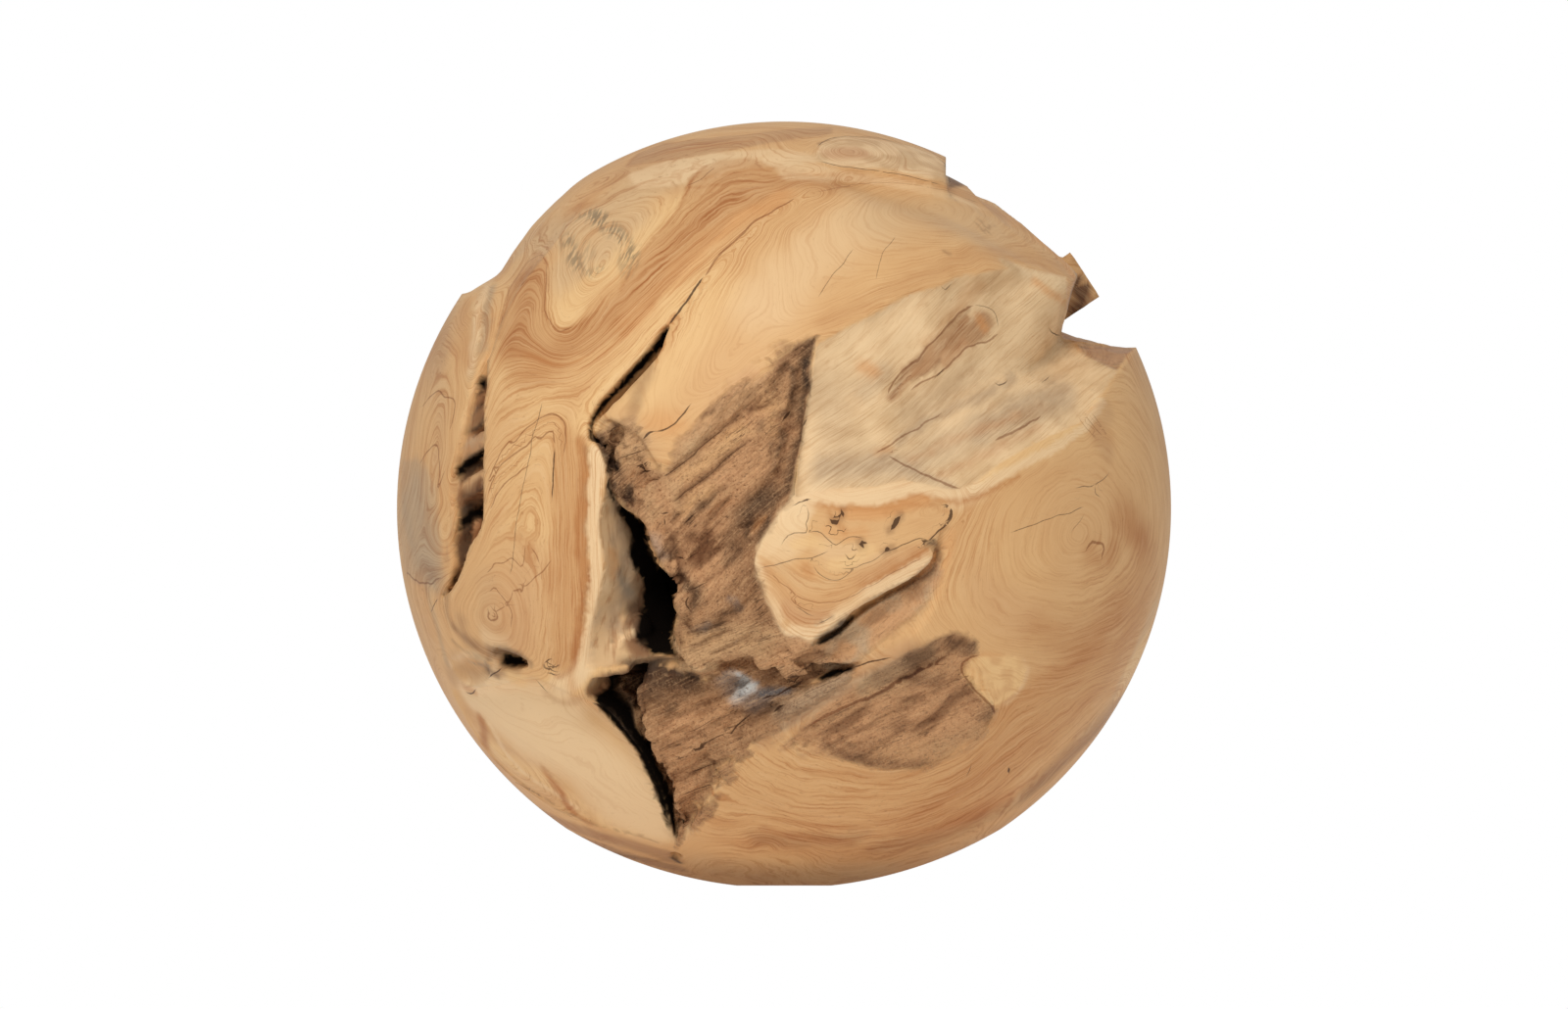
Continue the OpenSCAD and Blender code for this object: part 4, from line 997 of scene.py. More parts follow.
# Narrow strokes over the zones.
DETAIL_STROKES = drawn(
    (TAWNY, 0.55, 0.9, 0.8, [(509, 332), (513, 318), (522, 292), (535, 272), (546, 258), (557, 265),
        (558, 285), (556, 310), (561, 329), (572, 338), (586, 335), (600, 325)]),
    (TAWNY, 0.5, 0.9, 1.2, [(634, 296), (659, 253), (692, 214), (701, 192)]),
    (TAWNY, 0.6, 1.0, 0.8, [(701, 191), (706, 184), (713, 175), (722, 169)]),
    (TAWNY, 0.4, 0.9, 1.0, [(702, 192), (720, 190), (760, 185), (800, 179), (850, 178)]),
    (RUST, 0.4, 1.5, 1.5, [(720, 182), (750, 176), (790, 172)]),
    (TAWNY, 0.5, 0.9, 0.9, [(640, 169), (652, 157), (677, 148), (706, 143)]),
    (TAWNY, 0.4, 0.9, 0.9, [(641, 171), (663, 166), (706, 160), (750, 152)]),
    (RUST, 0.35, 2, 2, [(680, 156), (720, 149), (780, 142)]),
    (RUST, 0.7, 1.4, 1.2, [(826, 515), (860, 518), (897, 519), (922, 511), (940, 506), (962, 511),
        (985, 511), (1010, 502), (1040, 486)]),
    (ORANGE, 0.5, 3, 2, [(860, 524), (900, 524), (924, 516), (944, 511)]),
    (TAWNY, 0.35, 1.2, 1.2, [(905, 523), (930, 515), (950, 516), (966, 522)]),
    (TAWNY, 0.5, 1.5, 1.5, [(846, 524), (856, 534), (862, 542)]),
    (TAWNY, 0.35, 1.2, 1.0, [(779, 577), (784, 592), (800, 608), (826, 619), (850, 616), (878, 598),
        (916, 578), (944, 560)]),
    (RUST, 0.25, 1.5, 1.2, [(784, 578), (792, 594), (812, 606), (836, 610), (860, 600), (900, 578),
        (936, 560)]),
    (STRAW, 0.5, 2.5, 2, [(796, 578), (812, 594), (836, 598), (850, 594)]),
    (TAWNY, 0.4, 2, 1.5, [(822, 580), (827, 584)]),
    (HONEY, 0.6, 9, 5, [(794, 596), (820, 612), (860, 604)]),
    (FAWN, 0.4, 3.5, 2.5, [(804, 618), (820, 630), (838, 626)]),
    (UMBER, 0.5, 1.8, 1.2, [(849, 532), (858, 529), (860, 520)]),
    (UMBER, 0.5, 2.2, 1.2, [(907, 541), (913, 534), (919, 526)]),
    (UMBER, 0.55, 2.2, 1.2, [(903, 563), (911, 559)]),
    (UMBER, 0.5, 2.2, 1.4, [(878, 553), (881, 560)]),
    (SAPWOOD, 0.6, 3, 1.5, [(812, 556), (826, 552), (838, 556)]),
    (SAPWOOD, 0.7, 3, 1.5, [(850, 576), (868, 572), (888, 562)]),
    (CREAM, 0.6, 5, 2, [(806, 532), (816, 522), (822, 516)]),
    (ORANGE, 0.35, 3, 2.5, [(846, 540), (860, 546), (880, 542)]),
    (UMBER, 0.5, 0.7, 0.7, [(832, 637), (842, 634), (850, 629)]),
    (UMBER, 0.5, 1.5, 1.5, [(964, 257), (968, 259)]),
    (UMBER, 0.45, 0.8, 0.8, [(998, 222), (1003, 228), (1010, 238)]),
    (UMBER, 0.45, 0.8, 0.8, [(996, 228), (1004, 236), (1014, 230)]),
    (CLAY, 0.4, 6, 5, [(1130, 420), (1120, 440), (1130, 460)]),
    # Pale root face: pale wood, made paler still as painted light on a face turned to the light.
    (CREAM, 0.95, 26, 14, [(536, 744), (596, 775), (640, 825)]),
    # Painted light: the bottom limb made paler, as lit from the pale floor.
    (STRAW, 0.55, 14, 9, [(730, 884), (800, 892), (890, 892)]),
    (CREAM, 0.85, 5.5, 2, [(608, 640), (602, 668), (588, 690), (570, 701)]),
    (TAN, 0.6, 2, 1.5, [(556, 708), (574, 717), (592, 713), (604, 702)]),
    (TAWNY, 0.5, 1.5, 1.2, [(592, 660), (584, 680), (570, 692)]),
    # Painted shade at the knot hole's upper edge and under it, and in the fold to its left.
    (BARK_AND_SHADE, 0.6, 1.4, 1.2, [(484, 669), (498, 673), (508, 667), (518, 666), (532, 669), (542, 678)]),
    (UMBER, 0.5, 3, 3, [(500, 685), (512, 686), (526, 683)]),
    (CLAY, 0.5, 6, 5, [(460, 690), (470, 676), (484, 688)]),
    (RUST, 0.6, 2, 2, [(474, 702), (484, 706)]),
    # Darker strip along the lower-left limb: browner wood of a facet, and painted shade of the limb.
    (CLAY, 0.85, 7, 3, [(494, 786), (530, 812), (566, 836), (606, 852), (650, 864), (684, 876)]),
    (BARK_AND_SHADE, 0.45, 2.5, 2.5, [(540, 826), (572, 848), (610, 866), (650, 876)]),
    (CREAM, 0.7, 2.5, 1.5, [(500, 740), (516, 768), (536, 790), (560, 806), (588, 824)]),
    (TAWNY, 0.5, 3, 2, [(556, 786), (570, 806), (582, 826), (600, 840)]),
    (UMBER, 0.5, 0.8, 0.8, [(500, 772), (516, 787), (534, 801), (556, 815), (578, 829), (604, 841),
        (640, 850), (672, 860)]),
    (TAWNY, 0.6, 3, 2.5, [(490, 732), (494, 748), (496, 762)]),
    (CLAY, 0.75, 8, 5, [(776, 750), (806, 726), (850, 704), (890, 686), (926, 668)]),
    (GREY_TAN, 0.6, 3, 2, [(800, 742), (846, 714), (892, 690), (930, 672)]),
    (UMBER, 0.5, 1.3, 1.3, [(790, 748), (830, 722), (870, 702), (915, 682), (955, 662)]),
    (UMBER, 0.4, 1.0, 1.0, [(812, 722), (846, 703), (880, 688), (905, 676)]),
    (UMBER, 0.55, 1.0, 0.8, [(836, 147), (852, 141), (870, 140), (892, 140), (914, 146), (934, 153),
        (952, 160), (966, 168)]),
    (UMBER, 0.5, 1.5, 1.5, [(918, 142), (940, 150), (962, 162)]),
    (TAWNY, 0.45, 3, 2.5, [(780, 846), (800, 852), (836, 858), (868, 860)]),
    (TAWNY, 0.35, 2, 2, [(790, 836), (840, 844), (900, 842), (960, 822)]),
    (CREAM, 0.5, 1.5, 1.5, [(1044, 676), (1048, 688), (1040, 704), (1026, 718)]),
    (ORANGE, 0.4, 2, 2, [(990, 676), (1004, 670), (1022, 672)]),
)
# Grey marks of the saw on the swirl: strength, half width and soft edge in millimetres, points.
SAW_MARKS = drawn(
    (0.8, 3, 2.5, [(582, 226), (594, 219), (606, 217), (618, 224)]),
    (0.9, 4, 3, [(606, 222), (622, 232), (634, 244), (644, 260)]),
    (0.6, 3, 3, [(644, 260), (647, 270)]),
    (0.8, 4, 3, [(578, 242), (581, 254), (588, 268)]),
    (0.6, 3, 3, [(590, 272), (600, 279), (612, 276)]),
    (0.5, 3, 2.5, [(634, 264), (640, 280)]),
    (0.35, 3, 3, [(596, 250), (604, 262)]),
)
# Where the growth lines are strong or faint: strength, half width and soft edge in millimetres, points.
GRAIN = drawn(
    (0.8, 20, 14, [(510, 330), (540, 280), (590, 220), (680, 160), (760, 150)]),
    (0.85, 14, 10, [(560, 340), (620, 310), (690, 250), (760, 200), (840, 182)]),
    (0.8, 16, 12, [(600, 400), (650, 350), (720, 270), (790, 220)]),
    (0.75, 14, 10, [(500, 420), (540, 390), (590, 390)]),
    (0.6, 14, 12, [(590, 440), (588, 560), (580, 680)]),
    (0.4, 22, 14, [(530, 460), (535, 560), (530, 600)]),
    (0.25, 16, 10, [(500, 610), (505, 640)]),
    (0.7, 16, 12, [(470, 340), (452, 400), (446, 500), (440, 580)]),
    (0.5, 14, 14, [(600, 140), (720, 130), (840, 135)]),
    (0.45, 16, 12, [(820, 230), (860, 200), (900, 190)]),
    (0.12, 20, 16, [(920, 215), (960, 210), (1010, 235)]),
    (0.08, 26, 18, [(800, 290), (850, 260), (900, 240)]),
    (0.1, 24, 20, [(690, 420), (740, 350), (790, 310)]),
    (0.12, 60, 24, [(1020, 600), (1070, 540), (1130, 500)]),
    (0.3, 20, 16, [(1130, 580), (1150, 640), (1130, 700)]),
    (0.55, 12, 10, [(760, 850), (850, 862), (930, 862), (1040, 810)]),
    (0.4, 30, 16, [(760, 800), (880, 820), (1000, 780)]),
    (0.0, 34, 12, [(480, 716), (540, 740), (600, 780), (660, 850)]),
    (0.0, 20, 8, [(800, 540), (850, 550), (900, 540)]),
    (0.25, 8, 6, [(796, 596), (840, 614), (880, 596), (930, 566)]),
    (0.0, 12, 10, [(640, 420), (662, 400), (680, 430)]),
    (0.3, 14, 10, [(960, 590), (990, 560), (1000, 520)]),
    (0.0, 9, 5, [(600, 690), (640, 684), (700, 680)]),
    (0.0, 10, 6, [(850, 720), (900, 692), (930, 668)]),
    (0.16, 30, 14, [(494, 600), (506, 640), (500, 660)]),
)
# Strokes that show in one zone only, each set for its zone.
LEDGE_FACE_STROKES = drawn((FAWN, 0.6, 7, 4, [(852, 157), (876, 156)]))
HOLLOW_STROKES = drawn(
    (CREAM, 0.35, 14, 9, [(850, 350), (890, 330), (930, 312), (975, 300)]),
    (GREY_TAN, 0.3, 12, 9, [(842, 400), (850, 440)]),
    (GREY_TAN, 0.35, 8, 8, [(926, 424), (960, 406), (1000, 384)]),
    (GREY_TAN, 0.8, 7, 7, [(836, 480), (880, 474), (930, 478)]),
    (GREY_TAN, 0.6, 6, 7, [(1000, 440), (1050, 416), (1090, 398)]),
    (GREY_TAN, 0.5, 5, 5, [(880, 400), (900, 380)]),
    (CREAM, 0.55, 12, 10, [(1010, 380), (1050, 360), (1080, 345)]),
    (CREAM, 0.5, 9, 8, [(1030, 300), (1060, 300), (1080, 320)]),
    (CLAY, 0.95, 2.2, 1.2, [(908, 405), (922, 391), (936, 378)]),
    (CLAY, 0.95, 4.5, 1.5, [(930, 382), (952, 364), (972, 346), (988, 328)]),
    (CLAY, 0.9, 6, 2, [(982, 350), (998, 338), (1006, 328)]),
    (FAWN, 0.7, 3, 2, [(966, 368), (984, 352)]),
    (ORANGE, 0.7, 2.5, 2.5, [(1000, 326), (1006, 334)]),
    (UMBER, 0.55, 1.2, 1.0, [(908, 404), (920, 388), (936, 368), (956, 346), (974, 326), (990, 314)]),
    (UMBER, 0.4, 1.0, 0.8, [(930, 392), (944, 380), (962, 366)]),
    (CREAM, 0.7, 1.5, 1.5, [(1004, 312), (1016, 324), (1018, 338), (1006, 350), (982, 360)]),
    (RED, 0.5, 3, 3, [(944, 352), (972, 320), (1000, 290)]),
    (ORANGE, 0.6, 3, 3, [(880, 374), (888, 378)]),
    (ORANGE, 0.6, 3, 3, [(1058, 288), (1072, 298), (1084, 306)]),
    (RUST, 0.5, 2, 2, [(896, 462), (906, 458)]),
    (RED, 0.45, 2.5, 2.5, [(1008, 440), (1036, 428), (1064, 414)]),
    (GREY_TAN, 0.6, 2.5, 2, [(918, 452), (956, 424), (1012, 402), (1034, 384)]),
    (GREY_TAN, 0.7, 2, 2, [(892, 464), (916, 474), (944, 487), (974, 497)]),
    (CREAM, 0.5, 5, 4, [(1080, 350), (1110, 372)]),
    (CREAM, 0.6, 5, 4, [(826, 430), (820, 480)]),
    (GREY_TAN, 0.45, 9, 8, [(950, 462), (1016, 434), (1080, 404)]),
    (FAWN, 0.5, 2, 2, [(930, 470), (984, 444), (1040, 424)]),
    (FAWN, 0.5, 2, 2, [(960, 486), (1010, 462), (1060, 436)]),
)
HEART_STROKES = drawn(
    (FAWN, 0.9, 26, 10, [(700, 570), (740, 500), (790, 400)]),
    (HONEY, 0.5, 8, 8, [(798, 400), (780, 430)]),
    (FAWN, 0.8, 8, 6, [(690, 500), (730, 462), (770, 430)]),
    (HONEY, 0.6, 4, 4, [(700, 482), (730, 462), (756, 440)]),
    (HONEY, 0.5, 4, 4, [(700, 520), (724, 500)]),
    (TAN, 0.7, 3.5, 3, [(684, 490), (690, 515), (688, 535)]),
    (TAN, 0.7, 5, 4, [(690, 470), (708, 452), (726, 434), (746, 412), (768, 392)]),
    (STRAW, 0.6, 2, 2, [(694, 468), (712, 450), (730, 432)]),
    (CLAY, 0.8, 1.5, 1.5, [(680, 484), (706, 464), (740, 437), (764, 416)]),
    (UMBER, 0.7, 1.5, 1.5, [(694, 508), (708, 497), (722, 484), (740, 469)]),
    (BARK_AND_SHADE, 0.75, 1.3, 1.5, [(698, 537), (706, 527), (716, 519), (728, 506)]),
    (UMBER, 0.6, 1.3, 1.5, [(718, 542), (724, 531), (734, 520)]),
    (BARK_AND_SHADE, 0.8, 5, 4, [(826, 346), (812, 352), (800, 366)]),
    (UMBER, 0.7, 7, 5, [(810, 356), (802, 376), (796, 396)]),
    (BARK_AND_SHADE, 0.85, 3.5, 2.5, [(828, 350), (824, 380), (820, 410), (816, 440), (810, 470), (804, 500)]),
    (SHADE_AND_STAIN, 0.8, 2, 2, [(824, 366), (821, 392), (817, 420), (812, 446)]),
    (BARK_AND_SHADE, 0.7, 2.5, 2.5, [(812, 380), (810, 404), (806, 424)]),
    (SHADE_AND_STAIN, 0.6, 2, 2, [(806, 408), (811, 416)]),
    (CLAY, 0.7, 1.5, 1.5, [(819, 398), (814, 424), (809, 446)]),
    (UMBER, 0.6, 3.5, 3.5, [(800, 428), (796, 456), (790, 480), (784, 500)]),
    (BARK_AND_SHADE, 0.6, 2, 2, [(800, 440), (797, 462), (790, 478)]),
    (BARK_AND_SHADE, 0.5, 2, 2, [(786, 458), (788, 476), (782, 486)]),
    (BARK_AND_SHADE, 0.5, 1.5, 2, [(778, 430), (772, 440)]),
    (BARK_AND_SHADE, 0.6, 2, 2, [(806, 480), (800, 494), (792, 510), (786, 524)]),
    (BARK_AND_SHADE, 0.8, 5, 5, [(786, 503), (770, 514), (760, 530)]),
    (SHADE_AND_STAIN, 0.55, 4, 4, [(780, 508), (770, 520), (768, 530)]),
    (BARK_AND_SHADE, 0.6, 5, 5, [(752, 528), (748, 544), (744, 556)]),
    (SHADE_AND_STAIN, 0.7, 2, 2, [(784, 531), (780, 535)]),
    (SHADE_AND_STAIN, 0.6, 3, 3, [(782, 540), (776, 550), (770, 556)]),
    (BARK_AND_SHADE, 0.7, 2, 2, [(762, 543), (764, 551)]),
    (RUST, 0.7, 2, 2, [(770, 538), (776, 532)]),
    (BARK_AND_SHADE, 0.6, 2.5, 2.5, [(742, 572), (750, 568), (756, 564)]),
    (UMBER, 0.5, 6, 5, [(766, 566), (762, 590), (752, 606), (746, 622)]),
    (UMBER, 0.5, 5, 5, [(768, 590), (778, 612), (782, 634)]),
    (SLATE, 0.5, 1.5, 1.5, [(748, 612), (756, 622)]),
    (BARK_AND_SHADE, 0.6, 1.5, 1.5, [(738, 628), (750, 625), (758, 622)]),
    (SLATE, 0.8, 2.2, 2.2, [(705, 646), (713, 644), (722, 640)]),
    (BARK_AND_SHADE, 0.5, 1.5, 1.5, [(720, 641), (736, 637)]),
    # Painted shade in two furrows of the bark.
    (BARK_AND_SHADE, 0.55, 3.5, 3, [(694, 588), (702, 597), (709, 607), (708, 618)]),
    (SHADE_AND_STAIN, 0.6, 1.5, 1.5, [(696, 592), (701, 600)]),
    (SHADE_AND_STAIN, 0.6, 1.5, 1.5, [(708, 604), (709, 616)]),
    (BARK_AND_SHADE, 0.8, 3, 2.5, [(681, 545), (686, 553), (681, 564)]),
    (SHADE_AND_STAIN, 0.7, 1.6, 1.6, [(686, 552), (681, 566)]),
    (ASH, 0.5, 3.5, 3, [(668, 552), (672, 566)]),
    (FAWN, 0.7, 9, 6, [(655, 500), (672, 530), (690, 548)]),
    (TAN, 0.8, 9, 6, [(634, 440), (640, 460), (650, 448)]),
    (TAN, 0.6, 4, 3, [(662, 500), (664, 525)]),
    (UMBER, 0.8, 6, 4, [(616, 466), (624, 486), (632, 504), (640, 514)]),
    (BARK_AND_SHADE, 0.85, 3, 2.5, [(619, 432), (613, 440), (609, 448)]),
    (CREAM, 0.8, 1.2, 1.2, [(604, 444), (611, 433), (620, 427)]),
    # Painted shade in the crevices along the bark edge.
    (SHADE_AND_STAIN, 0.95, 2.5, 2, [(608, 448), (615, 456), (619, 462)]),
    (SHADE_AND_STAIN, 0.9, 2, 2, [(622, 461), (625, 470)]),
    (SHADE_AND_STAIN, 0.85, 2.2, 2, [(629, 474), (633, 484)]),
    (SHADE_AND_STAIN, 0.85, 2, 2, [(643, 495), (642, 503), (644, 511)]),
    (SHADE_AND_STAIN, 0.9, 2, 2, [(618, 470), (617, 484)]),
    (SHADE_AND_STAIN, 0.8, 1.8, 1.8, [(625, 494), (628, 508)]),
    (BARK_AND_SHADE, 0.7, 2.2, 2.2, [(636, 500), (640, 512)]),
    # Painted light on the lit top of the heart's ledge.
    (TAN, 0.85, 8, 4, [(700, 664), (740, 656), (780, 656), (850, 664)]),
    (FAWN, 0.8, 7, 5, [(800, 664), (850, 664), (870, 655)]),
    (STRAW, 0.7, 2, 2, [(697, 677), (706, 684), (716, 683), (730, 677)]),
    (RED, 0.5, 3.5, 3, [(694, 655), (702, 650)]),
    (CREAM, 0.6, 1.2, 1.2, [(687, 650), (686, 664)]),
    (FAWN, 0.55, 4, 3, [(804, 372), (800, 400), (802, 440), (796, 470)]),
    (CLAY, 0.7, 1.5, 1.5, [(814, 366), (812, 392), (806, 424)]),
    (SHADE_AND_STAIN, 0.6, 1.6, 1.4, [(808, 376), (805, 400), (800, 430), (794, 462)]),
)
SIDE_STROKES = drawn(
    (STRAW, 0.7, 4, 4, [(614, 476), (618, 510), (618, 550), (620, 590), (616, 630)]),
    (GREY_TAN, 0.7, 4, 4, [(634, 540), (640, 570), (648, 596), (646, 620)]),
    (GREY, 0.7, 3, 2.5, [(632, 584), (638, 596), (642, 606)]),
    (RED, 0.7, 1.5, 2, [(625, 562), (626, 578), (624, 592)]),
    (CREAM, 0.7, 2.5, 2, [(618, 592), (620, 602)]),
    (UMBER, 0.85, 3, 3, [(652, 592), (658, 612), (654, 640)]),
    (BARK_AND_SHADE, 0.8, 3, 3, [(660, 600), (661, 625), (656, 648)]),
    (BARK_AND_SHADE, 0.5, 2, 2, [(630, 516), (642, 545), (648, 575)]),
    # Painted shade under the strap, right of its knob.
    (BARK_AND_SHADE, 0.9, 5, 3, [(650, 622), (650, 644), (656, 658), (672, 664)]),
    (SHADE_AND_STAIN, 0.9, 5, 3, [(660, 644), (672, 656), (684, 662)]),
    (STRAW, 0.9, 6, 3, [(614, 646), (617, 668), (612, 688)]),
    (STRAW, 0.8, 4, 3, [(616, 678), (638, 676)]),
    (UMBER, 0.9, 4, 3, [(646, 662), (656, 667), (668, 668)]),
    (UMBER, 0.6, 3, 2, [(642, 640), (644, 656)]),
    (TAN, 0.8, 1.8, 1.5, [(612, 692), (632, 682), (648, 676), (668, 671), (690, 673)]),
    (CREAM, 0.95, 2.2, 1.5, [(628, 660), (636, 652), (644, 647)]),
    (SHADE_AND_STAIN, 0.9, 0.8, 0.8, [(623, 652), (624, 654)]),
    (BARK_AND_SHADE, 0.95, 9, 4, [(650, 702), (666, 694), (690, 690), (706, 692)]),
    (UMBER, 0.6, 4, 4, [(640, 700), (650, 706), (662, 712)]),
    # Painted shade under the heart's ledge and the strap's lower edge.
    (SHADE_AND_STAIN, 0.9, 4, 3, [(640, 682), (664, 678), (690, 680), (708, 686)]),
    (CLAY, 0.8, 1.2, 1, [(618, 700), (620, 702)]),
    # The slot's ribs; the near-black lines between them are painted shade.
    (UMBER, 1.0, 8, 2, [(472, 432), (494, 410)]),
    (CLAY, 0.8, 1.2, 1, [(494, 404), (482, 418), (472, 434)]),
    (SHADE_AND_STAIN, 0.8, 1, 1, [(494, 412), (482, 426), (471, 442)]),
    (SHADE_AND_STAIN, 0.7, 1, 1, [(494, 398), (484, 408), (476, 420)]),
    (CLAY, 1.0, 4.5, 1.5, [(468, 462), (495, 444)]),
    (SHADE_AND_STAIN, 0.8, 1, 0.8, [(470, 448), (495, 432)]),
    (GREY_TAN, 0.8, 1.5, 1, [(469, 460), (495, 442)]),
    (UMBER, 0.9, 7, 1.5, [(460, 514), (476, 502), (495, 490)]),
    (TAN, 0.9, 2, 1.5, [(461, 502), (476, 492), (495, 480)]),
    (SHADE_AND_STAIN, 0.6, 1, 1, [(462, 514), (478, 504), (494, 498)]),
    (FAWN, 1.0, 3.5, 1.2, [(488, 534), (486, 556), (480, 584)]),
    (BARK_AND_SHADE, 0.9, 5, 3, [(468, 552), (464, 580)]),
    (UMBER, 0.7, 1.5, 1.5, [(470, 548), (462, 560)]),
)
# Soft shadows and stains on the edges of the parts.
EDGE_STROKES = drawn(
    (SHADE_AND_STAIN, 0.9, 2.4, 1.4, [(838, 653), (850, 646), (861, 636)]),
    (BARK_AND_SHADE, 0.8, 1.6, 1.6, [(864, 633), (896, 613), (924, 599), (950, 583), (959, 568), (954, 553)]),
    (SHADE_AND_STAIN, 0.8, 1.2, 1.2, [(944, 556), (951, 552)]),
    (SHADE_AND_STAIN, 0.9, 1.4, 1.2, [(686, 876), (692, 880)]),
    (SHADE_AND_STAIN, 1.0, 2.6, 0.8, [(611, 713), (620, 723), (637, 742), (655, 763)]),
    (UMBER, 0.45, 2.5, 2.5, [(455, 606), (457, 630), (468, 646), (484, 657), (500, 664)]),
    (GREY, 0.3, 3, 3, [(436, 604), (446, 640), (456, 676)]),
    (CREAM, 0.5, 2, 2, [(460, 678), (478, 667), (494, 675)]),
    (CREAM, 0.5, 2, 2, [(502, 670), (506, 678), (500, 690)]),
    (UMBER, 0.4, 1.0, 1.0, [(462, 655), (470, 662), (480, 668)]),
    (UMBER, 0.5, 3.5, 3, [(500, 664), (506, 672), (510, 680)]),
    (UMBER, 0.45, 1.5, 1.5, [(462, 640), (474, 650), (486, 662), (498, 668)]),
    (GREY, 0.8, 0.8, 0.8, [(478, 674), (488, 679), (500, 679)]),
    (TAN, 0.5, 5, 3, [(466, 684), (480, 690)]),
    (SAPWOOD, 0.7, 3, 3, [(520, 690), (534, 694)]),
    (BARK_AND_SHADE, 0.6, 2, 2, [(502, 664), (514, 664), (530, 668)]),
    (BARK_AND_SHADE, 0.6, 2, 2, [(498, 684), (508, 690)]),
    (BARK_AND_SHADE, 0.9, 3.4, 1.4, [(623, 697), (634, 691), (648, 684)]),
    (UMBER, 0.8, 4, 2.5, [(604, 707), (612, 701), (618, 696)]),
    (CLAY, 0.7, 0.9, 0.8, [(617, 700), (618, 702)]),
)
NOTCH_STROKES = drawn(
    (BARK_AND_SHADE, 0.75, 9, 4, [(1092, 268), (1100, 288), (1098, 312)]),
    (SHADE_AND_STAIN, 0.5, 2, 2, [(1094, 266), (1104, 280), (1108, 300)]),
    (TAN, 0.9, 2.5, 1, [(1102, 258), (1114, 280), (1122, 302), (1112, 306)]),
    (CLAY, 0.8, 6, 4, [(1112, 366), (1140, 362), (1160, 372), (1172, 390)]),
    (TAN, 0.7, 1.5, 1.5, [(1116, 380), (1140, 388), (1172, 396)]),
)
LOWER_STROKES = drawn(
    # Painted shadow under the heart's ledge.
    (BARK_AND_SHADE, 0.8, 9, 6, [(640, 695), (672, 700), (700, 700)]),
    (UMBER, 0.6, 8, 6, [(690, 715), (720, 715), (740, 705)]),
    (ASH, 0.5, 8, 5, [(740, 684), (756, 694), (752, 706)]),
    (FROST, 0.9, 2.5, 2, [(752, 684), (760, 694), (774, 694)]),
    (FROST, 0.95, 3.5, 2, [(766, 700), (756, 706), (747, 714)]),
    (SLATE, 0.7, 1.3, 1.3, [(752, 696), (760, 698)]),
    (SLATE, 0.7, 1.3, 1.3, [(752, 710), (760, 706)]),
    (SLATE, 0.9, 3.5, 2, [(778, 709), (790, 706), (804, 702)]),
    (SLATE, 0.6, 5, 4, [(768, 720), (780, 716)]),
    (GREY_TAN, 0.7, 6, 5, [(800, 725), (840, 706), (870, 690)]),
    (FAWN, 1.0, 12, 9, [(690, 770), (700, 740), (730, 730)]),
    (FAWN, 1.0, 8, 6, [(700, 800), (697, 840)]),
    (BARK_AND_SHADE, 0.6, 2, 2, [(684, 722), (690, 719)]),
    (BARK_AND_SHADE, 0.6, 2, 2, [(676, 730), (684, 726)]),
)
PATCH_STROKES = drawn(
    (FAWN, 0.6, 22, 10, [(850, 745), (900, 730), (960, 700)]),
    (SALLOW, 0.6, 5, 3, [(880, 702), (920, 680), (950, 664)]),
    (TAN, 0.8, 2.5, 2, [(840, 736), (880, 716), (920, 700), (950, 690)]),
    (UMBER, 0.6, 7, 6, [(860, 764), (880, 772)]),
    (BARK_AND_SHADE, 0.8, 3, 3, [(868, 768), (880, 774)]),
    (UMBER, 0.6, 5, 5, [(930, 690), (960, 704), (990, 714)]),
    (BARK_AND_SHADE, 0.9, 4, 4, [(996, 716), (1008, 728)]),
    (BARK_AND_SHADE, 0.8, 4, 4, [(974, 656), (990, 660)]),
    (UMBER, 0.5, 6, 5, [(900, 690), (940, 668), (970, 656)]),
    (TAN, 0.6, 6, 5, [(960, 762), (990, 744)]),
    (FAWN, 0.75, 16, 8, [(870, 744), (930, 730), (980, 726)]),
    (UMBER, 0.7, 3, 2.5, [(844, 762), (870, 772), (905, 781), (936, 780)]),
    (UMBER, 0.6, 2.5, 2, [(860, 752), (876, 760), (890, 758)]),
    (UMBER, 0.5, 2.5, 2, [(926, 700), (940, 694), (956, 690)]),
    (UMBER, 0.5, 2, 2, [(920, 716), (934, 710)]),
)


def flat_line(points):
    """Front-view points as a line in the plane y = 0."""
    return np.array([(x, 0.0, z) for x, z in points])


def over(colour, shade, weight):
    """A colour with another laid over it by weight."""
    return colour + (shade - colour) * weight[:, None]


def mottled(first, second, pattern, share=1.0):
    """One colour, spotted with a share of another where the pattern is high."""
    return over(np.tile(first, (len(pattern), 1)), second, np.clip(pattern, 0, 1) * share)


def painted(colour, strokes, s, mask=1.0, onto=lift):
    """The colour of each point with soft strokes laid over it."""
    for shade, strength, wide, soft, points in strokes:
        c = onto(curve(points, 3))
        reach = wide + soft
        near = np.flatnonzero(((s > c.min(0) - reach) & (s < c.max(0) + reach)).all(axis=1))
        if not len(near):
            continue
        q = s[near]
        best = np.full(len(q), 1e9)
        for a, b in zip(c[:-1], c[1:]):
            e = b - a
            t = np.clip(((q - a) @ e) / max(e @ e, 1e-9), 0, 1)
            best = np.minimum(best, np.linalg.norm(q - a - t[:, None] * e, axis=1))
        w = strength * smooth(wide + soft, max(wide - soft, 0), best)
        if not np.isscalar(mask):
            w = w * mask[near]
        colour[near] += (shade - colour[near]) * w[:, None]
    return colour


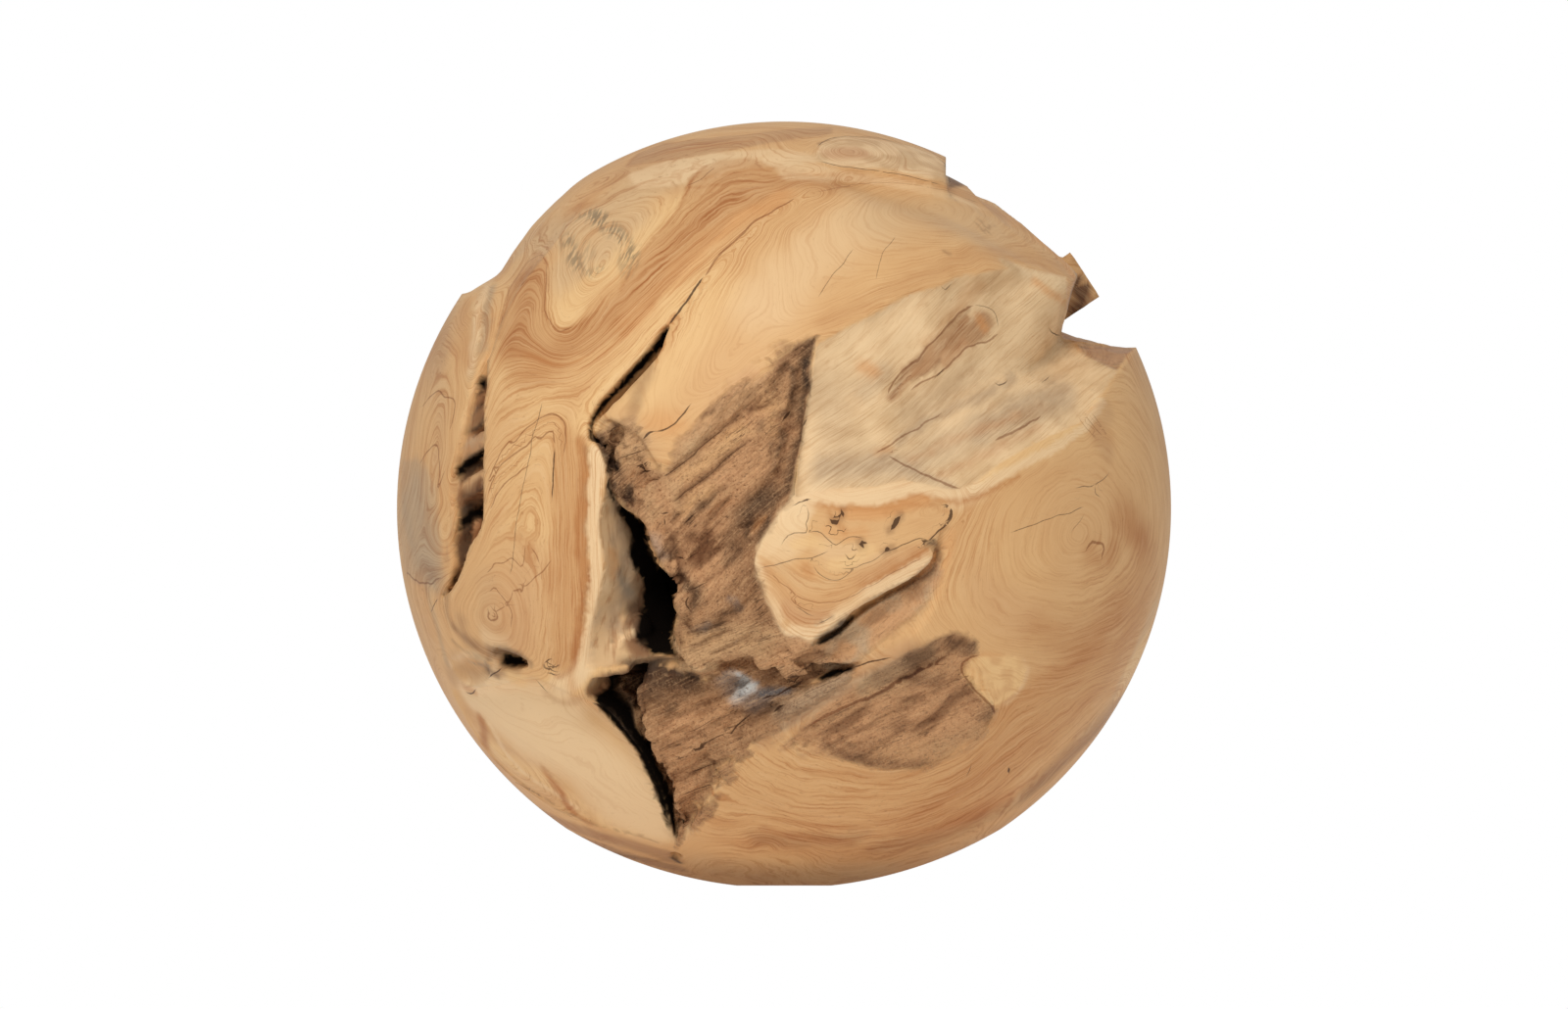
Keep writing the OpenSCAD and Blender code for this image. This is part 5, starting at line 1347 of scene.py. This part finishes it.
def brushed(strokes, s):
    """Strength of soft strokes at each point, from 0 to 1."""
    total = np.zeros((len(s), 1))
    full = np.array([1.0])
    return painted(total, [(full, *stroke) for stroke in strokes], s)[:, 0]


def grain_strength(s, facing):
    """How strongly the growth lines show at each point, from 0 to 1."""
    grain = (FAR_GRAIN + (FAINT - FAR_GRAIN) * facing)[:, None]
    strokes = [(np.array([value]), 1.0, wide, soft, points) for value, wide, soft, points in GRAIN]
    return painted(grain, strokes, s)[:, 0]


def zone_masks(p, depth, s, wobble):
    """How much of each zone of the wood lies at each point, from 0 to 1."""
    x, y, z = p.T
    xw, zw = x + 0.5 * wobble[:, 0], z + 0.5 * wobble[:, 2]
    facing = smooth(LIMB_FADE, -LIMB_FADE, y)
    fade = 7 * brushed(SOFT_EDGES, s)
    ragged = fade * 1.3 * fractal(along(p, RAGGED_SLANT, 3, 18, 6), 3, 330)
    m = SimpleNamespace(facing=facing)
    m.heart = smooth(-1.2 - fade, 1.2 + fade, inside(HEART, xw, zw) + ragged) * facing
    m.lower = smooth(-1 - fade, 1 + fade, inside(LOWER, xw, zw) + 1.5 * ragged) * facing
    m.patch = smooth(-1.5 - fade, 1.5 + fade, inside(PATCH, xw, zw) + ragged) * facing
    m.band = zone(BAND, xw, zw, 2) * facing
    m.bark = zone(BARK_EDGE, xw, zw, 1.5, 2.5) * facing
    m.ledge = zone(LEDGE, x, z, 1, 4) * m.heart
    m.rough = np.clip(np.maximum.reduce([m.heart, m.lower, 0.8 * m.patch, 0.5 * m.band]), 0, 1)
    m.hollow = zone(HOLLOW, x, z, 0.8) * facing * smooth(0.4, 1.2, depth)
    m.ledge_face = zone(LEDGE_FACE, x, z, 0.6) * facing
    m.wedge = zone(WEDGE, xw, zw, 0.7) * facing

    m.strap_side = zone(STRAP_SIDE, xw, zw, 1) * smooth(1, 3, depth)
    m.walls = np.maximum(zone(SLOT, xw, zw, 1), zone(LOWER_WALL, xw, zw, 1)) * smooth(2, 6, depth)
    m.side = np.maximum(m.strap_side, m.walls) * facing * (1 - m.heart) * (1 - m.hollow)
    ends = np.maximum(zone(BACK_ROOT, x, z, 0.8), zone(CUT_END, x, z, 2))
    m.notch = ends * smooth(0.5, 2.2, depth) * (1 - m.hollow)
    m.spike = zone(SPIKE, x, z, 1) * smooth(0.8, 2.5, depth)

    # Painted shade: the openings go near black, and so does the front wherever it lies 24 to 50 mm or more
    # below the turned surface; the wood of IN_OPENINGS takes it back.
    void = np.zeros(len(p))
    for outline in VOIDS:
        void = np.maximum(void, smooth(-0.4, 0.9, inside(outline, x, z) + 0.3 * wobble[:, 1]) * facing)
    void = np.maximum(void * smooth(1, 4, depth), smooth(24, 50, depth) * facing)
    m.void = void * (1 - 0.95 * brushed(IN_OPENINGS, s + 0.4 * wobble))
    return m


def wood_colour(p, s, wobble, m):
    """The colour of the wood at each point, in linear light, with painted shade on walls, under edges and
    in gaps, and painted light on a few faces.
    """
    x, y, z = p.T
    colour = mottled(HONEY, RED, 0.45 * (0.5 + 0.5 * fractal(s / 55, 2, 230)), 0.6 - 0.25 * m.facing)
    colour = over(colour, SAPWOOD, 0.4 * np.clip(fractal(s / 40, 2, 240), 0, 1))
    colour = painted(colour, STROKES, s + 1.0 * wobble)
    for shade, strength, soft, outline in ZONES:
        inner = zone(outline, x + 0.2 * wobble[:, 0], z + 0.2 * wobble[:, 2], soft) * m.facing
        colour = over(colour, shade, strength * inner)
    colour = painted(colour, DETAIL_STROKES, s + 0.25 * wobble)
    # Painted light: the ledge's face made paler, as it is turned to the light.
    colour = over(colour, mottled(CREAM, STRAW, 0.5 + fractal(p / 9, 2, 320)), 0.85 * m.ledge_face)
    colour = painted(colour, LEDGE_FACE_STROKES, s, m.ledge_face)
    colour = over(colour, mottled(STRAW, CREAM, 0.4 + fractal(p / 20, 2, 250)), m.hollow)
    colour = painted(colour, HOLLOW_STROKES, s + 0.8 * wobble, m.hollow)

    weathered = mottled(CLAY, UMBER, 0.15 + 0.9 * fractal(p / 12, 3, 260), 0.6)
    colour = over(colour, weathered, m.heart)
    colour = painted(colour, HEART_STROKES, s + 1.2 * wobble, m.heart)
    colour = over(colour, weathered, m.lower)
    colour = painted(colour, LOWER_STROKES, s + 1.0 * wobble, m.lower)
    colour = over(colour, over(weathered, FAWN, np.full(len(p), 0.6)), 0.75 * m.patch)
    colour = painted(colour, PATCH_STROKES, s + 1.2 * wobble, m.patch)
    colour = over(colour, mottled(FAWN, GREY_TAN, 0.4 + fractal(p / 8, 2, 270)), 0.8 * m.band)
    colour = over(colour, mottled(SAPWOOD, HONEY, 0.3 + fractal(p / 6, 2, 340)), 0.9 * m.wedge)

    strap_tone = mottled(GREY_TAN, STRAW, 0.5 + fractal(p / 9, 2, 280))
    colour = over(colour, strap_tone, 0.9 * m.strap_side * m.side)
    # Painted shade: the walls of the slot and of the lower cleft are coloured dark brown to near black.
    colour = over(colour, mottled(BARK_AND_SHADE, SHADE_AND_STAIN, 0.5 + fractal(p / 7, 2, 290)), 0.95 * m.walls * m.side)
    colour = painted(colour, SIDE_STROKES, s + 0.8 * wobble, m.side)
    fibrous = 0.5 + fractal(along(p, NOTCH_SLANT, 2.5, 14, 3), 3, 310)
    colour = over(colour, mottled(BARK_AND_SHADE, CLAY, fibrous), 0.9 * m.notch)
    colour = painted(colour, NOTCH_STROKES, np.stack([x, np.zeros(len(p)), z], axis=1), m.notch, flat_line)
    colour = over(colour, mottled(BARK_AND_SHADE, UMBER, fibrous), 0.9 * m.spike)
    return painted(colour, EDGE_STROKES, s + 0.5 * wobble)


def furrow_mask(p, s, m):
    """Painted shade in the furrows and dips of the weathered wood at each point, from 0 to 1."""
    relief = weather(p)
    far, half = line_field(FURROWS, s)
    cut = 0.55 * np.exp(-(far / np.maximum(0.7 * half, 0.1)) ** 2) * smooth(0, 0.8, half)
    furrow = (cut * np.maximum.reduce([m.heart, m.lower, m.patch])
              + m.heart * (1 - m.ledge) * (1 - m.bark) * smooth(-0.8, -3.4, relief["heart"])
              + m.ledge * smooth(-0.8, -3, relief["ledge"]) + m.bark * smooth(0, -3, relief["bark"])
              + 0.7 * m.lower * smooth(-0.8, -3.4, relief["lower"])
              + 0.7 * m.patch * smooth(-0.3, -1.6, relief["patch"])
              + 0.4 * m.band * smooth(-0.3, -1.2, relief["band"]))
    return np.clip(furrow, 0, 1)


def describe(mesh):
    """Stores on each vertex what the wood is like there."""
    p = coordinates(mesh)
    r = np.linalg.norm(p, axis=1)
    depth = turned_radius(p / r[:, None]) - r
    s = front_surface(p)
    wobble = 2.0 * waver(p, 9, (200, 210, 220), 2)
    m = zone_masks(p, depth, s, wobble)

    figure = spline_field(*figure_points(), s)
    checks, check_width = line_field(CHECKS, s + 0.35 * wobble)
    veins, vein_width = line_field(VEINS, s + 0.5 * wobble)
    drifted = p + 4 * waver(p, 60, (300, 301, 302))
    upper, under = along(drifted, HEART_SLANT, 1, 1, 1), along(drifted, UNDER_SLANT, 1, 1, 1)
    turn = smooth(*SLANT_TURN, p[:, 2])
    scratch = along(p, SAW_SLANT, 1, 1, 1)
    numbers = {
        "figure": figure, "grain": grain_strength(s, m.facing),
        "fibre": upper[:, 0] * (1 - turn) + under[:, 0] * turn,
        "run": upper[:, 1] * (1 - turn) + under[:, 1] * turn,
        "rough": m.rough, "hollow": m.hollow, "side": m.side, "void": m.void,
        "furrow": furrow_mask(p, s, m),
        "check_d": checks, "check_w": check_width, "vein_d": veins, "vein_w": vein_width,
        "saw": brushed(SAW_MARKS, s) * m.facing, "scratch": scratch[:, 0], "stroke": scratch[:, 1],
    }
    for name, values in numbers.items():
        layer = mesh.attributes.new(name, "FLOAT", "POINT")
        layer.data.foreach_set("value", values.astype(np.float32))
    rgba = np.ones((len(p), 4), np.float32)
    rgba[:, :3] = np.clip(wood_colour(p, s, wobble, m), 0.001, 1)
    layer = mesh.attributes.new("paint", "FLOAT_COLOR", "POINT")
    layer.data.foreach_set("color", rgba.ravel())


# ---------------------------------------------------------------- material

class Graph:
    """Short names for making shader nodes."""

    def __init__(self, tree):
        self.tree = tree

    def new(self, kind, **settings):
        node = self.tree.nodes.new(kind)
        for name, value in settings.items():
            setattr(node, name, value)
        return node

    def feed(self, socket, value):
        if isinstance(value, bpy.types.NodeSocket):
            self.tree.links.new(value, socket)
        else:
            socket.default_value = value

    def math(self, operation, *values, clamp=False):
        node = self.new("ShaderNodeMath", operation=operation, use_clamp=clamp)
        for socket, value in zip(node.inputs, values):
            self.feed(socket, value)
        return node.outputs[0]

    def add(self, a, b):
        return self.math("ADD", a, b)

    def times(self, a, b, clamp=False):
        return self.math("MULTIPLY", a, b, clamp=clamp)

    def number(self, name):
        return self.new("ShaderNodeAttribute", attribute_name=name).outputs["Fac"]

    def vector(self, x, y, z):
        node = self.new("ShaderNodeCombineXYZ")
        for socket, value in zip(node.inputs, (x, y, z)):
            self.feed(socket, value)
        return node.outputs[0]

    def noise(self, vector, scale=1.0, detail=2.0, rough=0.5):
        node = self.new("ShaderNodeTexNoise")
        self.feed(node.inputs["Vector"], vector)
        node.inputs["Scale"].default_value = scale
        node.inputs["Detail"].default_value = detail
        node.inputs["Roughness"].default_value = rough
        return node.outputs["Fac"]

    def step(self, value, low, high, to_low=0.0, to_high=1.0):
        node = self.new("ShaderNodeMapRange", interpolation_type="SMOOTHSTEP")
        for socket, v in zip(node.inputs, (value, low, high, to_low, to_high)):
            self.feed(socket, v)
        return node.outputs[0]

    def mix(self, a, b, factor, blend="MIX"):
        node = self.new("ShaderNodeMix", data_type="RGBA", blend_type=blend)
        self.feed(node.inputs["Factor"], factor)
        self.feed(node.inputs[6], a)
        self.feed(node.inputs[7], b)
        return node.outputs[2]

    def stained(self, colour, shade, factor):
        """The colour multiplied by a shade, by factor."""
        return self.mix(colour, self.mix(colour, rgb(shade), 1.0, "MULTIPLY"), factor)

    def layered(self, colour, layers):
        """The colour with layers over it: each by its pattern from low to high, its zone and strength."""
        for way, shade, pattern, low, high, where, strength in layers:
            shown = self.times(self.step(pattern, low, high), self.times(where, strength))
            if way == "stain":
                colour = self.stained(colour, shade, shown)
            else:
                colour = self.mix(colour, rgb(shade), shown)
        return colour


def rgb(shade):
    """A shader colour from a screen tone."""
    return (*(float(c) for c in tone(*shade)), 1.0)


def teak():
    """The material: growth lines, weathered fibres, saw marks and single lines over the painted colour,
    with painted shade in the furrows and openings.
    """
    material = bpy.data.materials.new("teak_root")
    material.use_nodes = True
    g = Graph(material.node_tree)
    shader = material.node_tree.nodes["Principled BSDF"]
    place = g.new("ShaderNodeVectorMath", operation="SCALE")
    g.feed(place.inputs[0], g.new("ShaderNodeTexCoord").outputs["Object"])
    place.inputs["Scale"].default_value = MM
    p = place.outputs[0]
    split = g.new("ShaderNodeSeparateXYZ")
    g.feed(split.inputs[0], p)
    x, y, z = split.outputs
    slow_a = g.add(x, g.times(y, 0.6))
    slow_b = g.add(z, g.times(y, -0.6))

    rough, void, hollow, side = (g.number(n) for n in ("rough", "void", "hollow", "side"))
    soft_mask = g.math("MAXIMUM", hollow, side)
    colour = g.new("ShaderNodeAttribute", attribute_name="paint").outputs["Color"]

    # growth lines of the turned wood
    bend = g.times(g.add(g.noise(p, 0.04), -0.5), 2.6)
    fine_bend = g.times(g.add(g.noise(p, 0.25), -0.5), 0.4)
    level = g.add(g.number("figure"), g.add(bend, fine_bend))
    turned = g.math("SUBTRACT", 1.0, g.math("MAXIMUM", rough, soft_mask), clamp=True)
    grain = g.number("grain")
    strong = g.times(grain, turned)
    plain = g.times(g.step(grain, 0.0, 0.4, 0.3, 1.0), turned)

    def ringed(across, slow, detail, roughness):
        return g.noise(g.vector(g.times(level, across), g.times(slow_a, slow), g.times(slow_b, slow)),
                       1, detail, roughness)

    lines = ringed(1.3, 0.015, 3, 0.7)
    bands = ringed(0.3, 0.012, 2, 0.55)
    fine = ringed(2.8, 0.03, 2, 0.6)
    pores = ringed(4.5, 0.3, 2, 0.6)
    soft_tint = (205, 158, 112)
    colour = g.layered(colour, (
        ("stain", soft_tint, lines, 0.48, 0.3, strong, 0.8),
        ("coat", (245, 210, 160), lines, 0.55, 0.75, strong, 0.25),
        ("stain", (214, 168, 122), bands, 0.5, 0.8, strong, 1.0),
        ("stain", soft_tint, fine, 0.5, 0.34, plain, 0.42),
        ("coat", (245, 212, 166), fine, 0.52, 0.7, plain, 0.16),
        ("stain", (176, 140, 104), pores, 0.58, 0.75, plain, 0.32),
    ))

    # fibres of the weathered wood
    strand = g.add(g.number("fibre"), g.times(g.add(g.noise(p, 0.1), -0.5), 1.2))
    run = g.number("run")

    def stranded(across, lengthwise, deep, detail, roughness):
        return g.noise(g.vector(g.times(strand, across), g.times(run, lengthwise), g.times(y, deep)),
                       1, detail, roughness)

    fibres = stranded(0.8, 0.04, 0.05, 3, 0.75)
    broad = stranded(0.3, 0.05, 0.05, 3, 0.6)
    stains = stranded(0.16, 0.08, 0.06, 4, 0.7)
    splits = stranded(0.45, 0.03, 0.03, 1, 0.5)
    pits = stranded(0.42, 0.22, 0.3, 3, 0.7)
    mottle = g.noise(p, 0.35, 3, 0.65)
    specks = g.noise(p, 0.8, 3, 0.7)
    brown = (140, 104, 78)
    colour = g.layered(colour, (
        ("stain", brown, fibres, 0.52, 0.36, rough, 0.24),
        ("coat", (222, 176, 128), fibres, 0.52, 0.66, rough, 0.28),
        ("stain", brown, broad, 0.44, 0.3, rough, 0.26),
        ("coat", (96, 74, 60), stains, 0.6, 0.76, rough, 0.38),
        ("stain", brown, mottle, 0.52, 0.7, rough, 0.25),
        ("stain", brown, specks, 0.54, 0.7, rough, 0.6),
        ("coat", (226, 182, 136), specks, 0.46, 0.32, rough, 0.3),
        ("coat", (88, 60, 44), pits, 0.6, 0.72, rough, 0.5),
    ))
    gap = g.step(g.math("ABSOLUTE", g.add(splits, -0.5)), 0.012, 0.004)
    gap = g.times(gap, g.step(g.noise(p, 0.06, 1), 0.5, 0.6))
    colour = g.mix(colour, rgb((70, 46, 32)), g.times(gap, g.times(rough, 0.6)))
    # Painted shade in the furrows and dips of the weathered wood.
    colour = g.stained(colour, (112, 80, 60), g.times(g.number("furrow"), 0.8))

    # fibres of the hollow, drips on the sides of the openings, and saw marks
    drips = g.noise(g.vector(g.times(x, 0.25), g.times(y, 0.25), g.times(z, 0.04)), 1, 3, 0.6)
    combs = stranded(1.5, 0.04, 0.04, 2, 0.6)
    combed = g.times(hollow, g.step(g.noise(p, 0.03, 1), 0.4, 0.6, 0.35, 1.0))
    teeth = g.noise(g.vector(g.times(g.number("scratch"), 0.75), g.times(g.number("stroke"), 0.12), 0.0),
                    1, 2, 0.6)
    tint = (206, 178, 150)
    colour = g.layered(colour, (
        ("stain", tint, fibres, 0.52, 0.32, hollow, 0.22),
        ("stain", tint, broad, 0.5, 0.32, hollow, 0.22),
        ("stain", tint, stains, 0.54, 0.74, hollow, 0.26),
        ("stain", (190, 150, 118), drips, 0.5, 0.7, side, 0.5),
        ("coat", (240, 208, 164), broad, 0.5, 0.72, hollow, 0.3),
        ("stain", (196, 162, 128), combs, 0.53, 0.68, combed, 0.3),
        ("coat", (246, 216, 172), combs, 0.47, 0.32, combed, 0.2),
        ("coat", (122, 106, 82), teeth, 0.42, 0.58, g.number("saw"), 0.75),
    ))

    # single lines, and the painted shade of the openings
    jitter = g.math("MULTIPLY_ADD", g.noise(p, 0.5), 1.1, 0.45)

    def drawn_line(name, width_share, outer, inner):
        half = g.times(g.times(g.number(name + "_w"), width_share), jitter)
        return g.step(g.math("SUBTRACT", half, g.math("ABSOLUTE", g.number(name + "_d"))), outer, inner)

    vein = g.times(drawn_line("vein", 0.75, -0.25, 0.3), g.step(g.number("vein_w"), 0.02, 0.25))
    colour = g.stained(colour, (150, 102, 66), g.times(vein, 0.6))
    check_width = g.number("check_w")
    bold = g.times(g.step(check_width, 0.01, 0.1), g.step(check_width, 0.1, 0.6, 0.55, 1.0))
    check = g.times(drawn_line("check", 0.8, -0.12, 0.18), bold)
    colour = g.mix(colour, rgb((60, 34, 18)), g.times(check, 0.85))
    # Painted shade: the openings coloured near black.
    colour = g.mix(colour, rgb((16, 12, 9)), void)
    g.feed(shader.inputs["Base Color"], colour)

    # sheen and relief, whose heights are in millimetres
    shine = g.math("MULTIPLY_ADD", g.noise(p, 0.12), 0.12, 0.42)
    dull = g.times(g.math("MAXIMUM", rough, soft_mask), 0.8)
    g.feed(shader.inputs["Roughness"], g.math("MAXIMUM", shine, dull))
    g.feed(shader.inputs["Specular IOR Level"], g.step(void, 0.0, 0.6, 0.16, 0.0))
    lumps = stranded(0.16, 0.08, 0.1, 5, 0.62)
    relief = g.times(g.times(lines, turned), 0.02)
    for pattern, where, height in (
            (fibres, rough, 1.2), (fibres, soft_mask, 0.22), (combs, combed, -0.5), (lumps, rough, 7.0),
            (g.noise(p, 0.5, 3, 0.6), rough, 0.8), (g.step(pits, 0.55, 0.72), rough, -1.0)):
        relief = g.add(relief, g.times(g.times(pattern, where), height))
    relief = g.add(relief, g.times(check, -0.5))
    bump = g.new("ShaderNodeBump")
    bump.inputs["Strength"].default_value = 0.6
    bump.inputs["Distance"].default_value = 1 / MM
    g.feed(bump.inputs["Height"], relief)
    g.feed(shader.inputs["Normal"], bump.outputs[0])
    return material


# ---------------------------------------------------------------- studio

def area_light(name, place, size, watts, colour):
    """A square lamp that points at the ball's centre."""
    data = bpy.data.lights.new(name, "AREA")
    data.shape = "SQUARE"
    data.size = size
    data.energy = watts
    data.color = colour
    lamp = bpy.data.objects.new(name, data)
    lamp.location = place
    lamp.rotation_mode = "QUATERNION"
    lamp.rotation_quaternion = (Vector((0, 0, 0)) - Vector(place)).to_track_quat("-Z", "Y")
    bpy.context.scene.collection.objects.link(lamp)


def studio():
    """White surroundings, a pale floor under the ball, one soft lamp and the level camera of the photo."""
    scene = bpy.context.scene
    scene.view_settings.view_transform = "Standard"
    world = bpy.data.worlds.new("studio")
    scene.world = world
    world.use_nodes = True
    g = Graph(world.node_tree)
    background = world.node_tree.nodes["Background"]
    background.inputs["Color"].default_value = (1, 1, 1, 1)
    seen = g.new("ShaderNodeLightPath").outputs["Is Camera Ray"]
    g.feed(background.inputs["Strength"], g.step(seen, 0.0, 1.0, SKY_LIGHT, SKY_SEEN))

    floor_mesh = bpy.data.meshes.new("floor")
    half = FLOOR_HALF
    floor_mesh.from_pydata([(-half, -half, 0), (half, -half, 0), (half, half, 0), (-half, half, 0)],
                           [], [(0, 1, 2, 3)])
    floor = bpy.data.objects.new("floor", floor_mesh)
    floor.location.z = LOW.z
    scene.collection.objects.link(floor)
    paper = bpy.data.materials.new("pale_floor")
    paper.use_nodes = True
    surface = paper.node_tree.nodes["Principled BSDF"]
    surface.inputs["Base Color"].default_value = (0.9, 0.9, 0.9, 1)
    surface.inputs["Emission Color"].default_value = (1, 1, 1, 1)
    surface.inputs["Emission Strength"].default_value = 0.16
    surface.inputs["Roughness"].default_value = 0.9
    floor.data.materials.append(paper)

    area_light("key", LAMP_PLACE, LAMP_SIZE, LAMP_WATTS, (1, 0.99, 0.97))

    lens = bpy.data.cameras.new("camera")
    lens.type = "ORTHO"
    lens.ortho_scale = PHOTO_SIZE[0] * PX / MM
    camera = bpy.data.objects.new("camera", lens)
    camera.location = (0, -CAMERA_DISTANCE, (VIEW_CENTRE[1] - PHOTO_SIZE[1] / 2) * PX / MM)
    camera.rotation_euler = (math.radians(90), 0, 0)
    scene.collection.objects.link(camera)
    scene.camera = camera


ball = carved_ball()
describe(ball.data)
ball.data.materials.clear()
ball.data.materials.append(teak())
studio()
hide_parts("root_ball")
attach(ball, "root")
